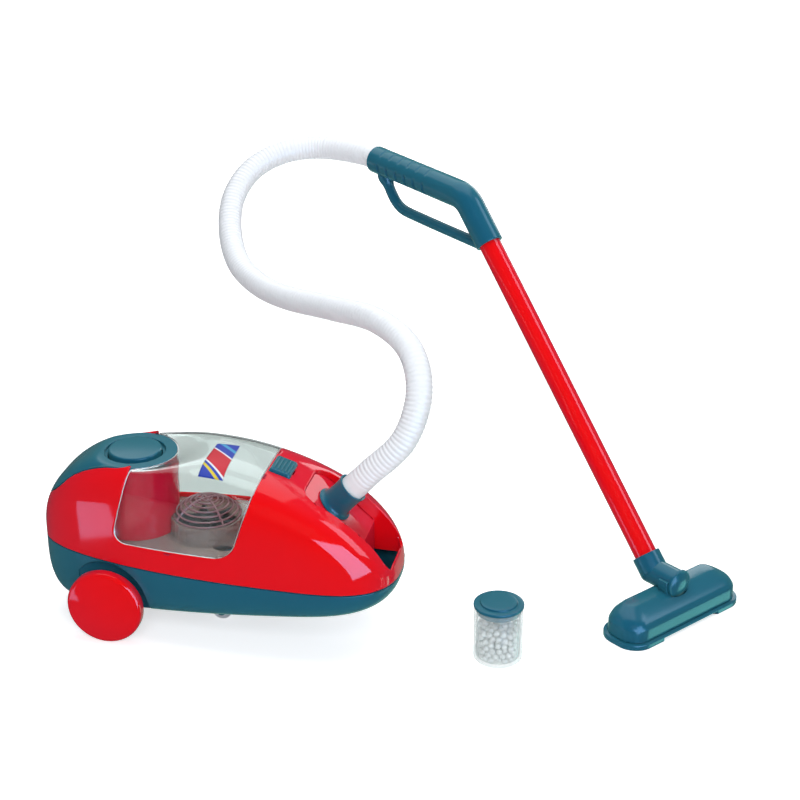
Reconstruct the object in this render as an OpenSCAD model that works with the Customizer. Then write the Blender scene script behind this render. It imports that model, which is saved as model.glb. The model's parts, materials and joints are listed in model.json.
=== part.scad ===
// Toy canister vacuum cleaner set: a canister with a see-through chamber, a ribbed hose,
// a wand with a grip and a floor head, and a jar of foam balls.
// Millimetres, +Z up. The canister's nose points along +X and the floor is z = 0.
// The origin lies on the floor under the middle of the set.

/* [Canister body] */
// Length of the canister from tail to nose
body_l = 314; // [302:1:326]
// Largest width over the shells
body_w = 119; // [114:1:126]
// Height of the crown above the seam
crown_h = 94; // [90:1:98]
// Height of the seam above the floor, over the rear axle
seam_z = 70; // [69:0.5:73]
// Fall of the seam from tail to nose
seam_fall = 7; // [4:0.5:9]
// Height of the underside above the floor, at the rear axle
keel_z = 20.5; // [18:0.5:22]
// Rise of the underside from tail to nose
keel_rise = 19.5; // [12:0.5:21]
// Wall of the moulded shells
wall = 2.4; // [2:0.1:2.8]
// Distance of the rear axle from the tail
axle_inset = 70; // [66:1:74]
/* [Chamber] */
// Distance of the button and its panel in front of the axle
panel_x = 13.5; // [11:0.5:16]
// Radius of the round end of the rear panel
panel_r = 36; // [34:0.5:38]
// Radius of the power button
button_r = 22.5; // [19:0.5:24]
// Travel of the power button
button_travel = 3; // [2:0.5:4]
// Bottom of the window above the floor
window_z = 90; // [88:1:94]
// Length of the window along its bottom edge
window_l = 107; // [100:1:110]
// Lean of the window's front edge from upright
window_front_lean = 18; // [16:0.5:20]
// Lean of the window's rear edge from upright
window_rear_lean = 14.5; // [12:0.5:15]
// Wall of the clear parts
clear_wall = 2; // [1.6:0.1:2.4]
// Height of the chamber floor above the axle's floor line
chamber_z = 84; // [82:0.5:86]
// Distance of the fan in front of the axle
fan_x = 75; // [72:1:78]
// Outer radius of the fan collar and its grille
collar_r = 31; // [29:0.5:33]
// Rise of the grille's dome
dome_h = 14; // [10:0.5:18]
// Number of rings in the grille
grille_rings = 7; // [5:1:8]
// Number of fan blades
blade_count = 6; // [4:1:8]
/* [Nose] */
// Distance of the grip pocket's middle behind the nose
pocket_x = 41; // [39:1:43]
// Half width of the grip pocket
pocket_r = 28; // [25:0.5:29]
// Slope of the pocket floor below level
pocket_slope = 43; // [40:1:46]
// Length of the hose connector
connector_l = 25; // [22:0.5:28]
/* [Wheels] */
// Radius of the rear wheels
wheel_r = 33; // [31:0.5:34]
// Width of the rear wheels without their domed face
wheel_w = 20; // [17:0.5:21]
// Rise of the domed wheel face
wheel_dome = 3; // [1:0.5:4]
// Radius of the steel axle
axle_r = 2.5; // [2:0.1:3]
// Distance of the castor in front of the axle
castor_x = 92; // [90:1:96]
// Radius of the castor wheel
castor_r = 9; // [8:0.5:9.5]
/* [Wand] */
// Place of the floor head in front of the rear axle
head_x = 473; // [460:1:490]
// Place of the floor head behind the canister's middle plane
head_y = 75; // [60:1:90]
// Turn of the floor head's long side from the canister's length
head_turn = 52; // [48:1:56]
// Lean of the wand above level
wand_lean = 48; // [45:1:52]
// Length of the tube between its two sleeves
tube_l = 311; // [270:1:330]
// Radius of the tube
tube_r = 10; // [9:0.5:10.5]
// Length of the grip from its bend to the hose
grip_l = 128; // [118:1:136]
// Radius of the grip
grip_r = 12.8; // [12.3:0.1:13.5]
// Number of finger grooves
groove_count = 6; // [4:1:7]
/* [Floor head] */
// Length of the floor head's sole
sole_l = 142; // [128:1:150]
// Depth of the floor head's sole, front to back
sole_d = 48; // [46:0.5:52]
// Thickness of the sole plate
sole_t = 5; // [4:0.5:6]
// Height of the elbow barrel's axis
barrel_z = 36; // [34:0.5:38]
// Radius of the elbow barrel
barrel_r = 11.5; // [10.5:0.5:12]
/* [Jar] */
// Place of the jar in front of the rear axle
jar_x = 329; // [315:1:345]
// Place of the jar behind the canister's middle plane
jar_y = -14; // [-25:1:0]
// Outer radius of the jar
jar_r = 20.5; // [18:0.5:23]
// Height of the jar without its lid
jar_h = 48.5; // [42:0.5:54]
// Height of the jar's lid with its plug
jar_lid_h = 10.3; // [9.5:0.1:12]
// Radius of a foam ball
ball_r = 2.9; // [2.4:0.1:3.1]
/* [Hose] */
// Outer radius over the ribs
hose_r = 11.5; // [11:0.1:11.6]
// Radius of the hose bore
hose_bore_r = 9; // [8.5:0.1:9.5]
// Distance between ribs
rib_pitch = 3.8; // [3.5:0.1:6]

/* [Hidden] */
$fn = 48;
// Gap between still pieces that sit side by side
gap = 0.3;
// Overrun of cuts past the faces that they open
cut = 1;
// Room round moving pieces
play = 0.5;
// Radial running clearance of a pin in its bore
fit = 0.05;

// Body form
tail_x = -axle_inset;
nose_x = tail_x + body_l;
width_peak_share = 0.637;
crown_peak_share = 0.435;
keel_peak_shares = [0.42, 0.637];
width_powers = [2, 0.42, 4, 0.4];
crown_powers = [3, 0.48, 2, 0.62];
keel_powers = [10, 0.5, 5, 0.5];
crown_section_power = 4;
keel_section_powers = [6, 2.4];
ring_points = 36;
slices = 18;
shell_sides = 26;
grip_sides = 20;
tip_share = 0.004;

function end_curve(u, p, e) = pow(max(0, 1 - pow(max(0, u), p)), e);
function taper(x, peaks, powers, inset) = x < peaks[0]
    ? end_curve((peaks[0] - x) / (peaks[0] - tail_x - inset), powers[0], powers[1])
    : x < peaks[1] ? 1
    : end_curve((x - peaks[1]) / (nose_x - inset - peaks[1]), powers[2], powers[3]);
function along(share) = tail_x + share * body_l;
function seam_at(x) = seam_z - seam_fall * x / body_l;
function keel_at(x) = keel_z + keel_rise * x / body_l;
function half_width(x, inset) = (body_w / 2 - inset)
    * taper(x, [along(width_peak_share), along(width_peak_share)], width_powers, inset);
function crown_at(x, inset) = (crown_h - inset)
    * taper(x, [along(crown_peak_share), along(crown_peak_share)], crown_powers, inset);
function keel_depth(x, inset) = (seam_at(x) - keel_at(x) - inset)
    * taper(x, [along(keel_peak_shares[0]), along(keel_peak_shares[1])], keel_powers, inset);
function keel_power(x) = keel_section_powers[0]
    + (keel_section_powers[1] - keel_section_powers[0]) * (x - tail_x) / body_l;
function signed_pow(v, p) = sign(v) * pow(abs(v), p);
function body_ring(x, inset) = [for (i = [0:ring_points - 1])
    let (a = 360 * i / ring_points, up = a <= 180,
         p = 2 / (up ? crown_section_power : keel_power(x)),
         h = up ? crown_at(x, inset) : keel_depth(x, inset))
    [x, half_width(x, inset) * signed_pow(cos(a), p), seam_at(x) + h * signed_pow(sin(a), p)]];
function slice_x(i, inset) = tail_x + inset + (body_l - 2 * inset)
    * (tip_share + (1 - 2 * tip_share) * (1 - cos(180 * i / slices)) / 2);

// The canister's outer form, drawn in by inset on all sides
module body_form(inset = 0) {
    faces = [[for (i = [0:ring_points - 1]) i], [for (i = [0:ring_points - 1]) 2 * ring_points - 1 - i]];
    for (i = [0:slices - 1])
        hull()
            polyhedron(concat(body_ring(slice_x(i, inset), inset),
                              body_ring(slice_x(i + 1, inset), inset)), faces);
}

// Seam and shell details
seam_gap = 0.6;
post_r = 4.5;
rear_posts = [[0.085, 0.15]];
front_posts = [[0.7, 0.3]];
screw_r = 1.6;
screw_head_r = 3.2;
screw_head_h = 2.2;
screw_grip = 12;

// Rear panel and power button
panel_tail_r = 27.5;
panel_tail_gap = 6;
panel_tail_x = tail_x + panel_tail_r + panel_tail_gap;
panel_flat_drop = 7.4;
crest_z = seam_at(panel_x) + crown_at(panel_x, 0);
panel_z = crest_z - panel_flat_drop;
button_proud = 2.3;
button_z = panel_z + button_proud;
button_t = 3;
button_skirt = 10;
button_edge = 1.6;
button_rise = 0.6;
stem_r = 4;
well_h = 12;
well_gap = 3.2;
well_drop = 3;
deck_drop = 26;
deck_z = button_z - deck_drop;
spring_r = 15;
spring_t = 1.4;
switch_size = [14, 9, 10];
plunger_r = 2;
plunger_h = 3;
stem_drop = deck_drop - switch_size[2] - plunger_h - button_travel - gap;

// Window, chamber and fan
window_x = 5;
window_corner_r = 14;
lid_gap = 0.4;
window_top_z = seam_z + crown_h + window_corner_r;
collar_h = 14;
collar_z = chamber_z + clear_wall;
grille_z = collar_z + collar_h;
grille_base_h = 2;
grille_r = collar_r - clear_wall;
rib_w = 1.6;
spoke_count = 4;
inlet_rx = 9;
inlet_ry = 6;
inlet_x = 98;
inlet_y = -30;
tower_r = panel_r - gap;
tower_notch_h = 7;
bulkhead_set = 3;
fan_room = 2.5;
fan_r = collar_r - clear_wall - fan_room;
fan_hub_r = 7;
fan_h = 9;
fan_z = collar_z + fan_room;
blade_t = 1.4;
blade_pitch = 35;
shaft_r = 1;
motor_r = 13.5;
motor_l = 28;
motor_flat = 22;
motor_boss_r = 4;
mount_t = 2.4;
mount_rim = 4;
mount_r = collar_r + mount_rim;
mount_hole_r = motor_boss_r + gap;
motor_z = chamber_z - mount_t - motor_l;

// Batteries
battery_r = 7.25;
battery_l = 50.5;
battery_count = 4;
battery_room = 1;
battery_pitch = 2 * battery_r + battery_room;
contact_t = 0.8;
contact_r = 5;
tip_r = 2.7;
tip_h = 1;
tray_wall = 1.6;
tray_lift = 1.2;
tray_inner_l = battery_count * battery_pitch + gap;
tray_inner_w = battery_l + 2 * contact_t + 2 * gap;
tray_l = tray_inner_l + 2 * tray_wall;
tray_w = tray_inner_w + 2 * tray_wall;
tray_h = 2 * battery_r + 2 * gap + tray_wall;
bay_x = 40;
battery_lift = wall + tray_lift + gap + battery_r;
keel_slope = atan(keel_rise / body_l);
door_inset = 2;
door_r = 4;

// Latch
latch_l = 19;
latch_w = 27;
latch_t = 2.6;
latch_travel = 5;
latch_ridges = 5;
latch_ridge_r = 1.1;
latch_ridge_share = 0.17;
latch_stem_l = 8;
latch_stem_w = 9;
latch_stem_h = 8;
latch_arm_r = 2;
latch_arm_reach = 12;
latch_arm_drop = 9;
latch_foot_z = latch_arm_r - latch_stem_h;
window_front_x = window_x + window_l;
function front_edge_x(z) = window_front_x + (z - window_z) * tan(window_front_lean);
function crest_at(x) = seam_at(x) + crown_at(x, 0);
latch_gap = 1;
latch_x = front_edge_x(crest_at(window_front_x + latch_l)) + latch_gap + latch_l / 2;
latch_slope = atan((crest_at(latch_x - latch_l / 2) - crest_at(latch_x + latch_l / 2)) / latch_l);

// Pocket and connector
pocket_rear_set = 23;
pocket_mid_x = nose_x - pocket_x;
pocket_rear_x = pocket_mid_x - pocket_rear_set;
pocket_rear_r = 14;
pocket_front_set = 29;
pocket_front_x = pocket_mid_x + pocket_front_set;
pocket_front_r = 8;
pocket_edge_x = pocket_rear_x - pocket_rear_r;
pocket_edge_z = crest_at(pocket_edge_x) - wall;
pocket_hole_set = 11;
pocket_hole_x = pocket_mid_x + pocket_hole_set;
connector_set = 27;
flange_r = 16;
flange_t = 2.5;
waist_r = 12.6;
rim_r = 13.6;
connector_bore_r = 9.2;
spigot_r = 10.4;
spigot_l = 5;
flange_lip = 1;
hose_seat = 8;
hose_seat_r = hose_r + play;
function pocket_z(x) = pocket_edge_z - (x - pocket_edge_x) * tan(pocket_slope);
connector_foot = [pocket_edge_x + connector_set * cos(pocket_slope), 0,
                  pocket_edge_z - connector_set * sin(pocket_slope)];
connector_dir = [sin(pocket_slope), 0, cos(pocket_slope)];

// Wheels and castor
arch_room = 3;
arch_r = wheel_r + arch_room;
arch_y = 39;
wheel_in = arch_y + 2 * play;
wheel_edge = 2.5;
wheel_web = 2.6;
hub_r = 7;
cap_t = 2.5;
castor_w = 8;
castor_trail = 7;
castor_stem_r = 3;
castor_pin_r = 1.5;
castor_arm_t = 2.2;
castor_flange_r = 9;
castor_flange_t = 2.4;
bush_r = 5;
bush_h = 14;
boss_r = 8;
castor_top_z = keel_at(castor_x - castor_flange_r) - play;

// Wand in its own plane: distance behind the head's middle, then height
neck_rise = 12;
neck_set = 41;
neck_rim = [neck_set, barrel_z + neck_rise];
neck_l = 22;
neck_r = 12.6;
barrel_front = 0;
cap_r = 12.6;
cap_l = 3;
elbow_y = neck_rim[0] - (neck_rim[1] - barrel_z) / tan(wand_lean);
wand_dir = [0, cos(wand_lean), sin(wand_lean)];
tube_seat = 18;
socket_l = 49;
socket_r = 12.6;
socket_bore = 34;
bend_r = 26;
grip_lean = 3;
grip_dir = [0, cos(grip_lean), sin(grip_lean)];
bend_turn = wand_lean - grip_lean;
corner = [0, neck_rim[0], neck_rim[1]] + (tube_l + socket_l) * wand_dir;
bend_cut = bend_r * tan(bend_turn / 2);
grip_end = corner + grip_l * grip_dir;
groove_r = 2.6;
groove_depths = [1.2, 0.5];
bend_steps = 8;
guard_steps = 4;
guard_sides = 12;
grip_seat_r = hose_seat_r / cos(180 / grip_sides);
groove_pitch = 13;
groove_start = 16;
guard_r = 5;
guard_shares = [[0.9, -0.7], [0.887, -1.13], [0.786, -2.41], [0.7, -2.95], [0.595, -3.09], [-0.203, -3.14]];

// Floor head
sole_corner_r = 19;
sole_set = 8;
head_h = 30;
head_wall_z = 17;
head_taper = 3;
head_brow_z = 23;
head_brow_taper = 7;
head_wall = 2.6;
ridge_l = 104;
ridge_d = 16;
ridge_shift = 5;
collar_w = 10;
collar_t = 2.5;
collar_rise = 4;
notch_l = 68;
notch_d = 5;
notch_h = 4.2;
mouth_l = 86;
mouth_d = 18;
sole_screw_share = 0.38;

// Jar
jar_wall = 1.8;
jar_base = 2.2;
jar_lid_lip = 0.6;
jar_lid_rim = 2.6;
jar_lid_inset = 5;
jar_lid_step_r = jar_r - jar_lid_inset;
jar_lid_wall = 1.8;
jar_plug_h = 6;
jar_plug_r = jar_r - jar_wall - gap;
ball_layers = 6;
ball_ring_shares = [0, 0.5, 1];
ball_ring_counts = [1, 6, 13];

// Hose route between its straight ends, each point in front of the axle, behind the middle, above the floor
hose_route = [[245, 4, 184], [254, 20, 220], [240, 48, 246], [204, 85, 254], [156, 125, 246],
              [104, 165, 237], [68, 196, 236], [38, 231, 243], [20, 266, 262], [15, 298, 285],
              [26, 328, 305], [52, 350, 317], [88, 360, 321]];
hose_lead = 28;
hose_sides = 8;
rib_depth = 1.5;
route_steps = 24;
bore_rings = 40;

// The set's box without the hose, which places the origin
sole_reach = sole_corner_r + (sole_l / 2 - sole_corner_r) * cos(head_turn)
    + (sole_d / 2 - sole_corner_r - sole_set) * sin(head_turn);
set_x = [tail_x + tip_share * body_l, head_x + sole_reach];
set_y = [-wheel_in - wheel_w - wheel_dome,
         head_y + grip_end[1] * cos(head_turn) + grip_r * sqrt(1 - pow(grip_dir[1] * cos(head_turn), 2))];
set_mid = [(set_x[0] + set_x[1]) / 2, (set_y[0] + set_y[1]) / 2];

TEAL = "#1d5f7c";
RED = "#d8121c";
CLEAR = "#dfe9e2";
STEEL = "#b8bcc0";
DARK = "#3a3d42";
WHITE = "#f4f6fa";

// Puts a piece drawn from the rear axle's floor point into the set's frame
module placed() {
    translate([-set_mid[0], -set_mid[1], 0]) children();
}

// Puts a piece drawn in the floor head's frame into the set's frame
module at_head() {
    placed() translate([head_x, head_y, 0]) rotate([0, 0, head_turn]) children();
}

// Turns +Z to a direction in the wand's plane that rises at the given angle
module wand_turn(lean) {
    rotate([lean - 90, 0, 0]) children();
}

// The half of space above or below the seam
module seam_half(up) {
    translate([0, 0, seam_z])
        rotate([0, atan(seam_fall / body_l), 0])
            translate([-body_l, -body_w, up ? seam_gap / 2 : -body_l - seam_gap / 2])
                cube([3 * body_l, 2 * body_w, body_l]);
}

module arch_pair(r, y) {
    for (side = [-1, 1])
        translate([0, side * (y + body_w / 2), wheel_r])
            rotate([90, 0, 0])
                cylinder(r = r, h = body_w, center = true);
}

module post_spots(shares = concat(rear_posts, front_posts)) {
    for (share = shares, side = [-1, 1])
        translate([along(share[0]), side * share[1] * body_w, seam_at(along(share[0]))]) children();
}

// Frame on the underside at the battery bay, level with the keel
module bay_frame() {
    translate([bay_x, 0, keel_at(bay_x)])
        rotate([0, -keel_slope, 0])
            children();
}

module bay_outline(grow) {
    bay_frame()
        translate([0, 0, -wheel_r])
            hull()
                for (sx = [-1, 1], sy = [-1, 1])
                    translate([sx * (tray_l / 2 - door_r), sy * (tray_w / 2 - door_r), 0])
                        cylinder(r = door_r + grow, h = seam_z);
}

module lower_shell() {
    $fn = shell_sides;
    color(TEAL)
    placed()
    difference() {
        intersection() {
            body_form();
            seam_half(false);
        }
        difference() {
            body_form(wall);
            arch_pair(arch_r + wall, arch_y - wall);
            translate([castor_x, 0, 0])
                cylinder(r = boss_r, h = castor_top_z + bush_h + wall);
            post_spots()
                translate([0, 0, -seam_z])
                    cylinder(r = post_r, h = seam_z);
        }
        arch_pair(arch_r, arch_y);
        translate([0, 0, wheel_r])
            rotate([90, 0, 0])
                cylinder(r = axle_r + gap, h = 2 * body_w, center = true);
        translate([castor_x, 0, 0])
            cylinder(r = bush_r + gap, h = castor_top_z + bush_h + play);
        post_spots() {
            translate([0, 0, -seam_z])
                cylinder(r = screw_r + gap, h = 2 * seam_z);
            translate([0, 0, -seam_z])
                cylinder(r = screw_head_r + gap, h = seam_z - screw_grip);
        }
        bay_outline(-door_inset + gap);
    }
}

module window_prism(grow) {
    rotate([90, 0, 0])
        linear_extrude(2 * body_w, center = true)
            offset(delta = grow)
                hull() {
                    translate([window_x + window_corner_r, window_z + window_corner_r])
                        circle(window_corner_r);
                    translate([window_front_x - window_corner_r, window_z + window_corner_r])
                        circle(window_corner_r);
                    translate([window_x + (window_top_z - window_z) * tan(window_rear_lean), window_top_z])
                        square(gap);
                    translate([front_edge_x(window_top_z), window_top_z])
                        square(gap);
                }
}

module panel_prism(grow) {
    linear_extrude(seam_z + 2 * crown_h)
        hull() {
            translate([panel_x, 0])
                circle(panel_r + grow);
            translate([panel_tail_x, 0])
                circle(panel_tail_r + grow);
        }
}

module below(z) {
    translate([-body_l, -body_w, 0])
        cube([2 * body_l, 2 * body_w, z]);
}

module pocket_outline(grow) {
    offset(delta = grow)
        hull()
            for (side = [-1, 1]) {
                translate([pocket_rear_x, side * (pocket_r - pocket_rear_r)])
                    circle(pocket_rear_r);
                translate([pocket_front_x, side * (pocket_r - pocket_front_r)])
                    circle(pocket_front_r);
            }
}

// Frame on the crest at the latch, with +X down the slope of the nose
module latch_frame() {
    translate([latch_x, 0, crest_at(latch_x)])
        rotate([0, latch_slope, 0])
            translate([0, 0, play])
                children();
}

// Space above the slanted pocket floor, sunk by depth
module above_pocket(depth) {
    translate([pocket_edge_x, 0, pocket_edge_z])
        rotate([0, pocket_slope, 0])
            translate([-body_l / 2, -body_w, -depth])
                cube([body_l, 2 * body_w, body_l]);
}

// Space in front of the pocket floor's end, down to the seam
module before_pocket(x) {
    translate([x, -body_w, 0])
        cube([body_l, 2 * body_w, body_l]);
}

module upper_shell() {
    $fn = shell_sides;
    color(RED)
    placed()
    difference() {
        intersection() {
            body_form();
            seam_half(true);
        }
        difference() {
            body_form(wall);
            intersection() {
                linear_extrude(2 * body_l)
                    pocket_outline(wall);
                union() {
                    above_pocket(wall);
                    before_pocket(pocket_hole_x - wall);
                }
            }
            post_spots(front_posts)
                cylinder(r = post_r, h = crown_h);
        }
        intersection() {
            linear_extrude(2 * body_l)
                pocket_outline(0);
            union() {
                above_pocket(0);
                before_pocket(pocket_hole_x);
            }
        }
        translate(connector_foot)
            rotate([0, pocket_slope, 0])
                cylinder(r = spigot_r + gap, h = 2 * spigot_l, center = true);
        post_spots(front_posts)
            translate([0, 0, -cut])
                cylinder(r = screw_r + gap, h = screw_grip);
        window_prism(0);
        panel_prism(0);
        latch_frame()
            translate([-latch_stem_l / 2 - play, -latch_stem_w / 2 - play, -3 * latch_stem_h])
                cube([latch_stem_l + 2 * play + latch_travel, latch_stem_w + 2 * play, 4 * latch_stem_h]);
    }
}

module rear_panel() {
    $fn = shell_sides;
    color(TEAL)
    placed()
    difference() {
        union() {
            difference() {
                intersection() {
                    body_form();
                    panel_prism(-gap);
                    seam_half(true);
                    below(panel_z);
                }
                difference() {
                    intersection() {
                        body_form(wall);
                        below(panel_z - wall);
                    }
                    post_spots(rear_posts)
                        cylinder(r = post_r, h = crown_h);
                }
            }
            translate([panel_x, 0, panel_z - well_h])
                cylinder(r = button_r + well_gap + wall, h = well_h - gap);
        }
        translate([panel_x, 0, panel_z - well_h - cut])
            cylinder(r = button_r + play, h = well_h + 2 * cut);
        translate([panel_x, 0, panel_z - well_drop])
            cylinder(r = button_r + well_gap, h = well_h);
        post_spots(rear_posts)
            translate([0, 0, -cut])
                cylinder(r = screw_r + gap, h = screw_grip);
    }
}

module power_button() {
    skirt_r = button_r - wall;
    top_r = button_r - button_edge;
    color(TEAL)
    placed()
    translate([panel_x, 0, button_z])
        rotate_extrude()
            polygon(concat(
                [[0, -stem_drop], [stem_r, -stem_drop], [stem_r, -button_t], [skirt_r, -button_t],
                 [skirt_r, -button_skirt], [button_r, -button_skirt]],
                [for (a = [0:15:90]) [top_r + button_edge * cos(a),
                                      -button_edge + button_edge * sin(a)]],
                [for (i = [5:-1:0]) [top_r * i / 6, button_rise * (1 - pow(i / 6, 2))]]));
}

// Sleeve that stands for the coil spring under the button
module button_spring() {
    color(STEEL)
    placed()
    translate([panel_x, 0, deck_z + gap])
        difference() {
            cylinder(r = spring_r, h = deck_drop - button_t - 2 * gap);
            translate([0, 0, -cut])
                cylinder(r = spring_r - spring_t, h = deck_drop + cut);
        }
}

module power_switch() {
    color(DARK)
    placed()
    translate([panel_x, 0, deck_z]) {
        translate([-switch_size[0] / 2, -switch_size[1] / 2, 0])
            cube(switch_size);
        translate([0, 0, switch_size[2] - cut])
            cylinder(r = plunger_r, h = plunger_h + cut);
    }
}

module window_lid() {
    $fn = shell_sides;
    color(CLEAR)
    placed()
    difference() {
        intersection() {
            body_form();
            window_prism(-lid_gap);
            seam_half(true);
        }
        difference() {
            body_form(clear_wall);
            translate([panel_x, 0, panel_z - wall])
                cylinder(r = panel_r + lid_gap + clear_wall, h = crown_h);
        }
        translate([panel_x, 0, window_z])
            cylinder(r = panel_r + lid_gap, h = 2 * crown_h);
    }
}

module lid_latch() {
    color(TEAL)
    placed()
    latch_frame() {
        hull()
            for (sx = [-1, 1], sy = [-1, 1])
                translate([sx * (latch_l / 2 - latch_t / 2), sy * (latch_w / 2 - latch_t / 2), 0])
                    cylinder(r1 = latch_t / 2, r2 = latch_t / 4, h = latch_t);
        for (i = [0:latch_ridges - 1])
            translate([latch_l * latch_ridge_share * (i - (latch_ridges - 1) / 2), 0, latch_t])
                rotate([90, 0, 0])
                    cylinder(r = latch_ridge_r, h = latch_w - latch_t, center = true);
        translate([-latch_stem_l / 2, -latch_stem_w / 2, -latch_stem_h])
            cube([latch_stem_l, latch_stem_w, latch_stem_h + cut]);
        hull()
            for (reach = [0, 1])
                translate([-reach * latch_arm_reach, 0, latch_foot_z - reach * latch_arm_drop])
                    rotate([90, 0, 0])
                        cylinder(r = latch_arm_r, h = latch_stem_w, center = true);
    }
}

// Slab that leans with the window's front edge
module lean_slab(offset_x, t) {
    translate([window_front_x + offset_x, 0, window_z])
        rotate([0, window_front_lean, 0])
            translate([0, -body_w, -body_l / 2])
                cube([t, 2 * body_w, body_l]);
}

module chamber_floor() {
    $fn = shell_sides;
    color(CLEAR)
    placed()
    difference() {
        union() {
            intersection() {
                body_form(wall + gap);
                translate([panel_x - panel_r, -body_w, chamber_z])
                    cube([body_l / 2, 2 * body_w, clear_wall]);
            }
            translate([fan_x, 0, chamber_z])
                cylinder(r = collar_r, h = collar_h + clear_wall);
        }
        translate([fan_x, 0, chamber_z - cut])
            cylinder(r = collar_r - clear_wall, h = collar_h + clear_wall + 2 * cut);
        lean_slab(bulkhead_set - gap, body_l);
        translate([inlet_x, inlet_y, chamber_z])
            scale([inlet_rx / inlet_ry, 1, 1])
                cylinder(r = inlet_ry, h = 4 * clear_wall, center = true);
    }
}

module motor_tower() {
    $fn = shell_sides;
    color(RED)
    placed()
    difference() {
        intersection() {
            body_form(wall + gap);
            below(panel_z - wall - gap);
            union() {
                translate([panel_x, 0, collar_z])
                    difference() {
                        cylinder(r = tower_r, h = crown_h);
                        translate([0, 0, -cut])
                            cylinder(r = tower_r - wall, h = crown_h + 2 * cut);
                    }
                translate([panel_x, 0, deck_z - wall])
                    cylinder(r = tower_r - wall / 2, h = wall);
            }
        }
        translate([panel_x, 0, panel_z - well_h - gap])
            cylinder(r = button_r + well_gap + wall + gap, h = crown_h);
        translate([fan_x, 0, 0])
            cylinder(r = collar_r + gap, h = grille_z + tower_notch_h);
    }
}

module chamber_bulkhead() {
    color(RED)
    placed()
    difference() {
        intersection() {
            body_form(wall + gap);
            lean_slab(bulkhead_set, wall);
            translate([0, -body_w, chamber_z])
                cube([body_l, 2 * body_w, body_l]);
        }
        latch_frame()
            translate([-latch_l, -latch_stem_w, -4 * latch_stem_h])
                cube([2 * latch_l, 2 * latch_stem_w, 4 * latch_stem_h]);
    }
}

spoke_rs = [for (k = [-8:8]) grille_r * k / 8];
function dome_z(r) = dome_h * (1 - pow(r / grille_r, 2));

module filter_grille() {
    color(CLEAR)
    placed()
    translate([fan_x, 0, grille_z]) {
        difference() {
            cylinder(r = collar_r, h = grille_base_h);
            translate([0, 0, -cut])
                cylinder(r = grille_r - rib_w, h = grille_base_h + 2 * cut);
        }
        for (i = [1:grille_rings])
            let (r = grille_r * i / (grille_rings + 1))
                rotate_extrude()
                    translate([r - rib_w / 2, dome_z(r)])
                        square([rib_w, grille_base_h]);
        translate([0, 0, dome_h])
            cylinder(r = 2 * rib_w, h = grille_base_h);
        for (i = [0:spoke_count / 2 - 1])
            rotate([90, 0, 45 + i * 360 / spoke_count])
                linear_extrude(rib_w, center = true)
                    polygon(concat(
                        [for (r = spoke_rs) [r, dome_z(r)]],
                        [for (r = spoke_rs) [-r, dome_z(r) + grille_base_h]]));
    }
}

module fan_impeller() {
    color(WHITE)
    placed()
    translate([fan_x, 0, fan_z])
        difference() {
            union() {
                cylinder(r = fan_hub_r, h = fan_h);
                for (i = [0:blade_count - 1])
                    rotate([0, 0, 360 * i / blade_count])
                        translate([fan_hub_r - blade_t, 0, fan_h / 2])
                            rotate([blade_pitch, 0, 0])
                                translate([0, -blade_t / 2, -fan_h / 2])
                                    cube([fan_r - fan_hub_r, blade_t, fan_h]);
            }
            translate([0, 0, -cut])
                cylinder(r = shaft_r, h = fan_h - clear_wall + cut);
        }
}

module motor_shaft() {
    color(STEEL)
    placed()
    translate([fan_x, 0, motor_z + motor_l / 2])
        cylinder(r = shaft_r, h = fan_z + fan_h - clear_wall - motor_z - motor_l / 2);
}

module motor() {
    color(STEEL)
    placed()
    translate([fan_x, 0, motor_z])
        difference() {
            union() {
                intersection() {
                    cylinder(r = motor_r, h = motor_l);
                    translate([0, 0, motor_l / 2])
                        cube([2 * motor_r, motor_flat, motor_l], center = true);
                }
                cylinder(r = motor_boss_r, h = motor_l + mount_t);
            }
            translate([0, 0, motor_l / 2 - play])
                cylinder(r = shaft_r + fit, h = motor_l);
        }
}

module motor_mount() {
    color(DARK)
    placed()
    translate([fan_x, 0, chamber_z - mount_t])
        difference() {
            cylinder(r = mount_r, h = mount_t);
            translate([0, 0, -cut])
                cylinder(r = mount_hole_r, h = mount_t + 2 * cut);
            for (i = [0:blade_count - 1])
                rotate([0, 0, 360 * i / blade_count])
                    translate([(motor_r + grille_r) / 2, 0, -cut])
                        cylinder(r = (grille_r - motor_r) / 2 - clear_wall, h = mount_t + 2 * cut);
        }
}

module battery_row() {
    bay_frame()
        for (i = [0:battery_count - 1])
            translate([(i - (battery_count - 1) / 2) * battery_pitch, 0, battery_lift])
                rotate([i % 2 == 0 ? 90 : -90, 0, 0])
                    children();
}

module battery_tray() {
    color(DARK)
    placed()
    bay_frame()
        translate([0, 0, wall + tray_lift])
            difference() {
                translate([-tray_l / 2, -tray_w / 2, 0])
                    cube([tray_l, tray_w, tray_h]);
                translate([-tray_inner_l / 2, -tray_inner_w / 2, -cut])
                    cube([tray_inner_l, tray_inner_w, tray_h - tray_wall + cut]);
            }
}

module batteries() {
    color(DARK)
    placed()
    battery_row() {
        translate([0, 0, -battery_l / 2])
            cylinder(r = battery_r, h = battery_l - tip_h);
        cylinder(r = tip_r, h = battery_l / 2);
    }
}

module battery_contacts() {
    color(STEEL)
    placed()
    battery_row()
        for (side = [-1, 1])
            translate([0, 0, side * (battery_l / 2 + contact_t / 2)])
                cylinder(r = contact_r, h = contact_t, center = true);
}

module battery_door() {
    $fn = shell_sides;
    color(TEAL)
    placed()
    difference() {
        intersection() {
            body_form();
            bay_outline(-door_inset);
            seam_half(false);
        }
        body_form(wall);
    }
}

module screw(length) {
    cylinder(r = screw_r, h = length);
    translate([0, 0, -screw_head_h])
        cylinder(r = screw_head_r, h = screw_head_h);
}

module body_screws() {
    color(STEEL)
    placed()
    post_spots()
        translate([0, 0, -screw_grip])
            screw(2 * screw_grip - 2 * cut);
}

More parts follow.
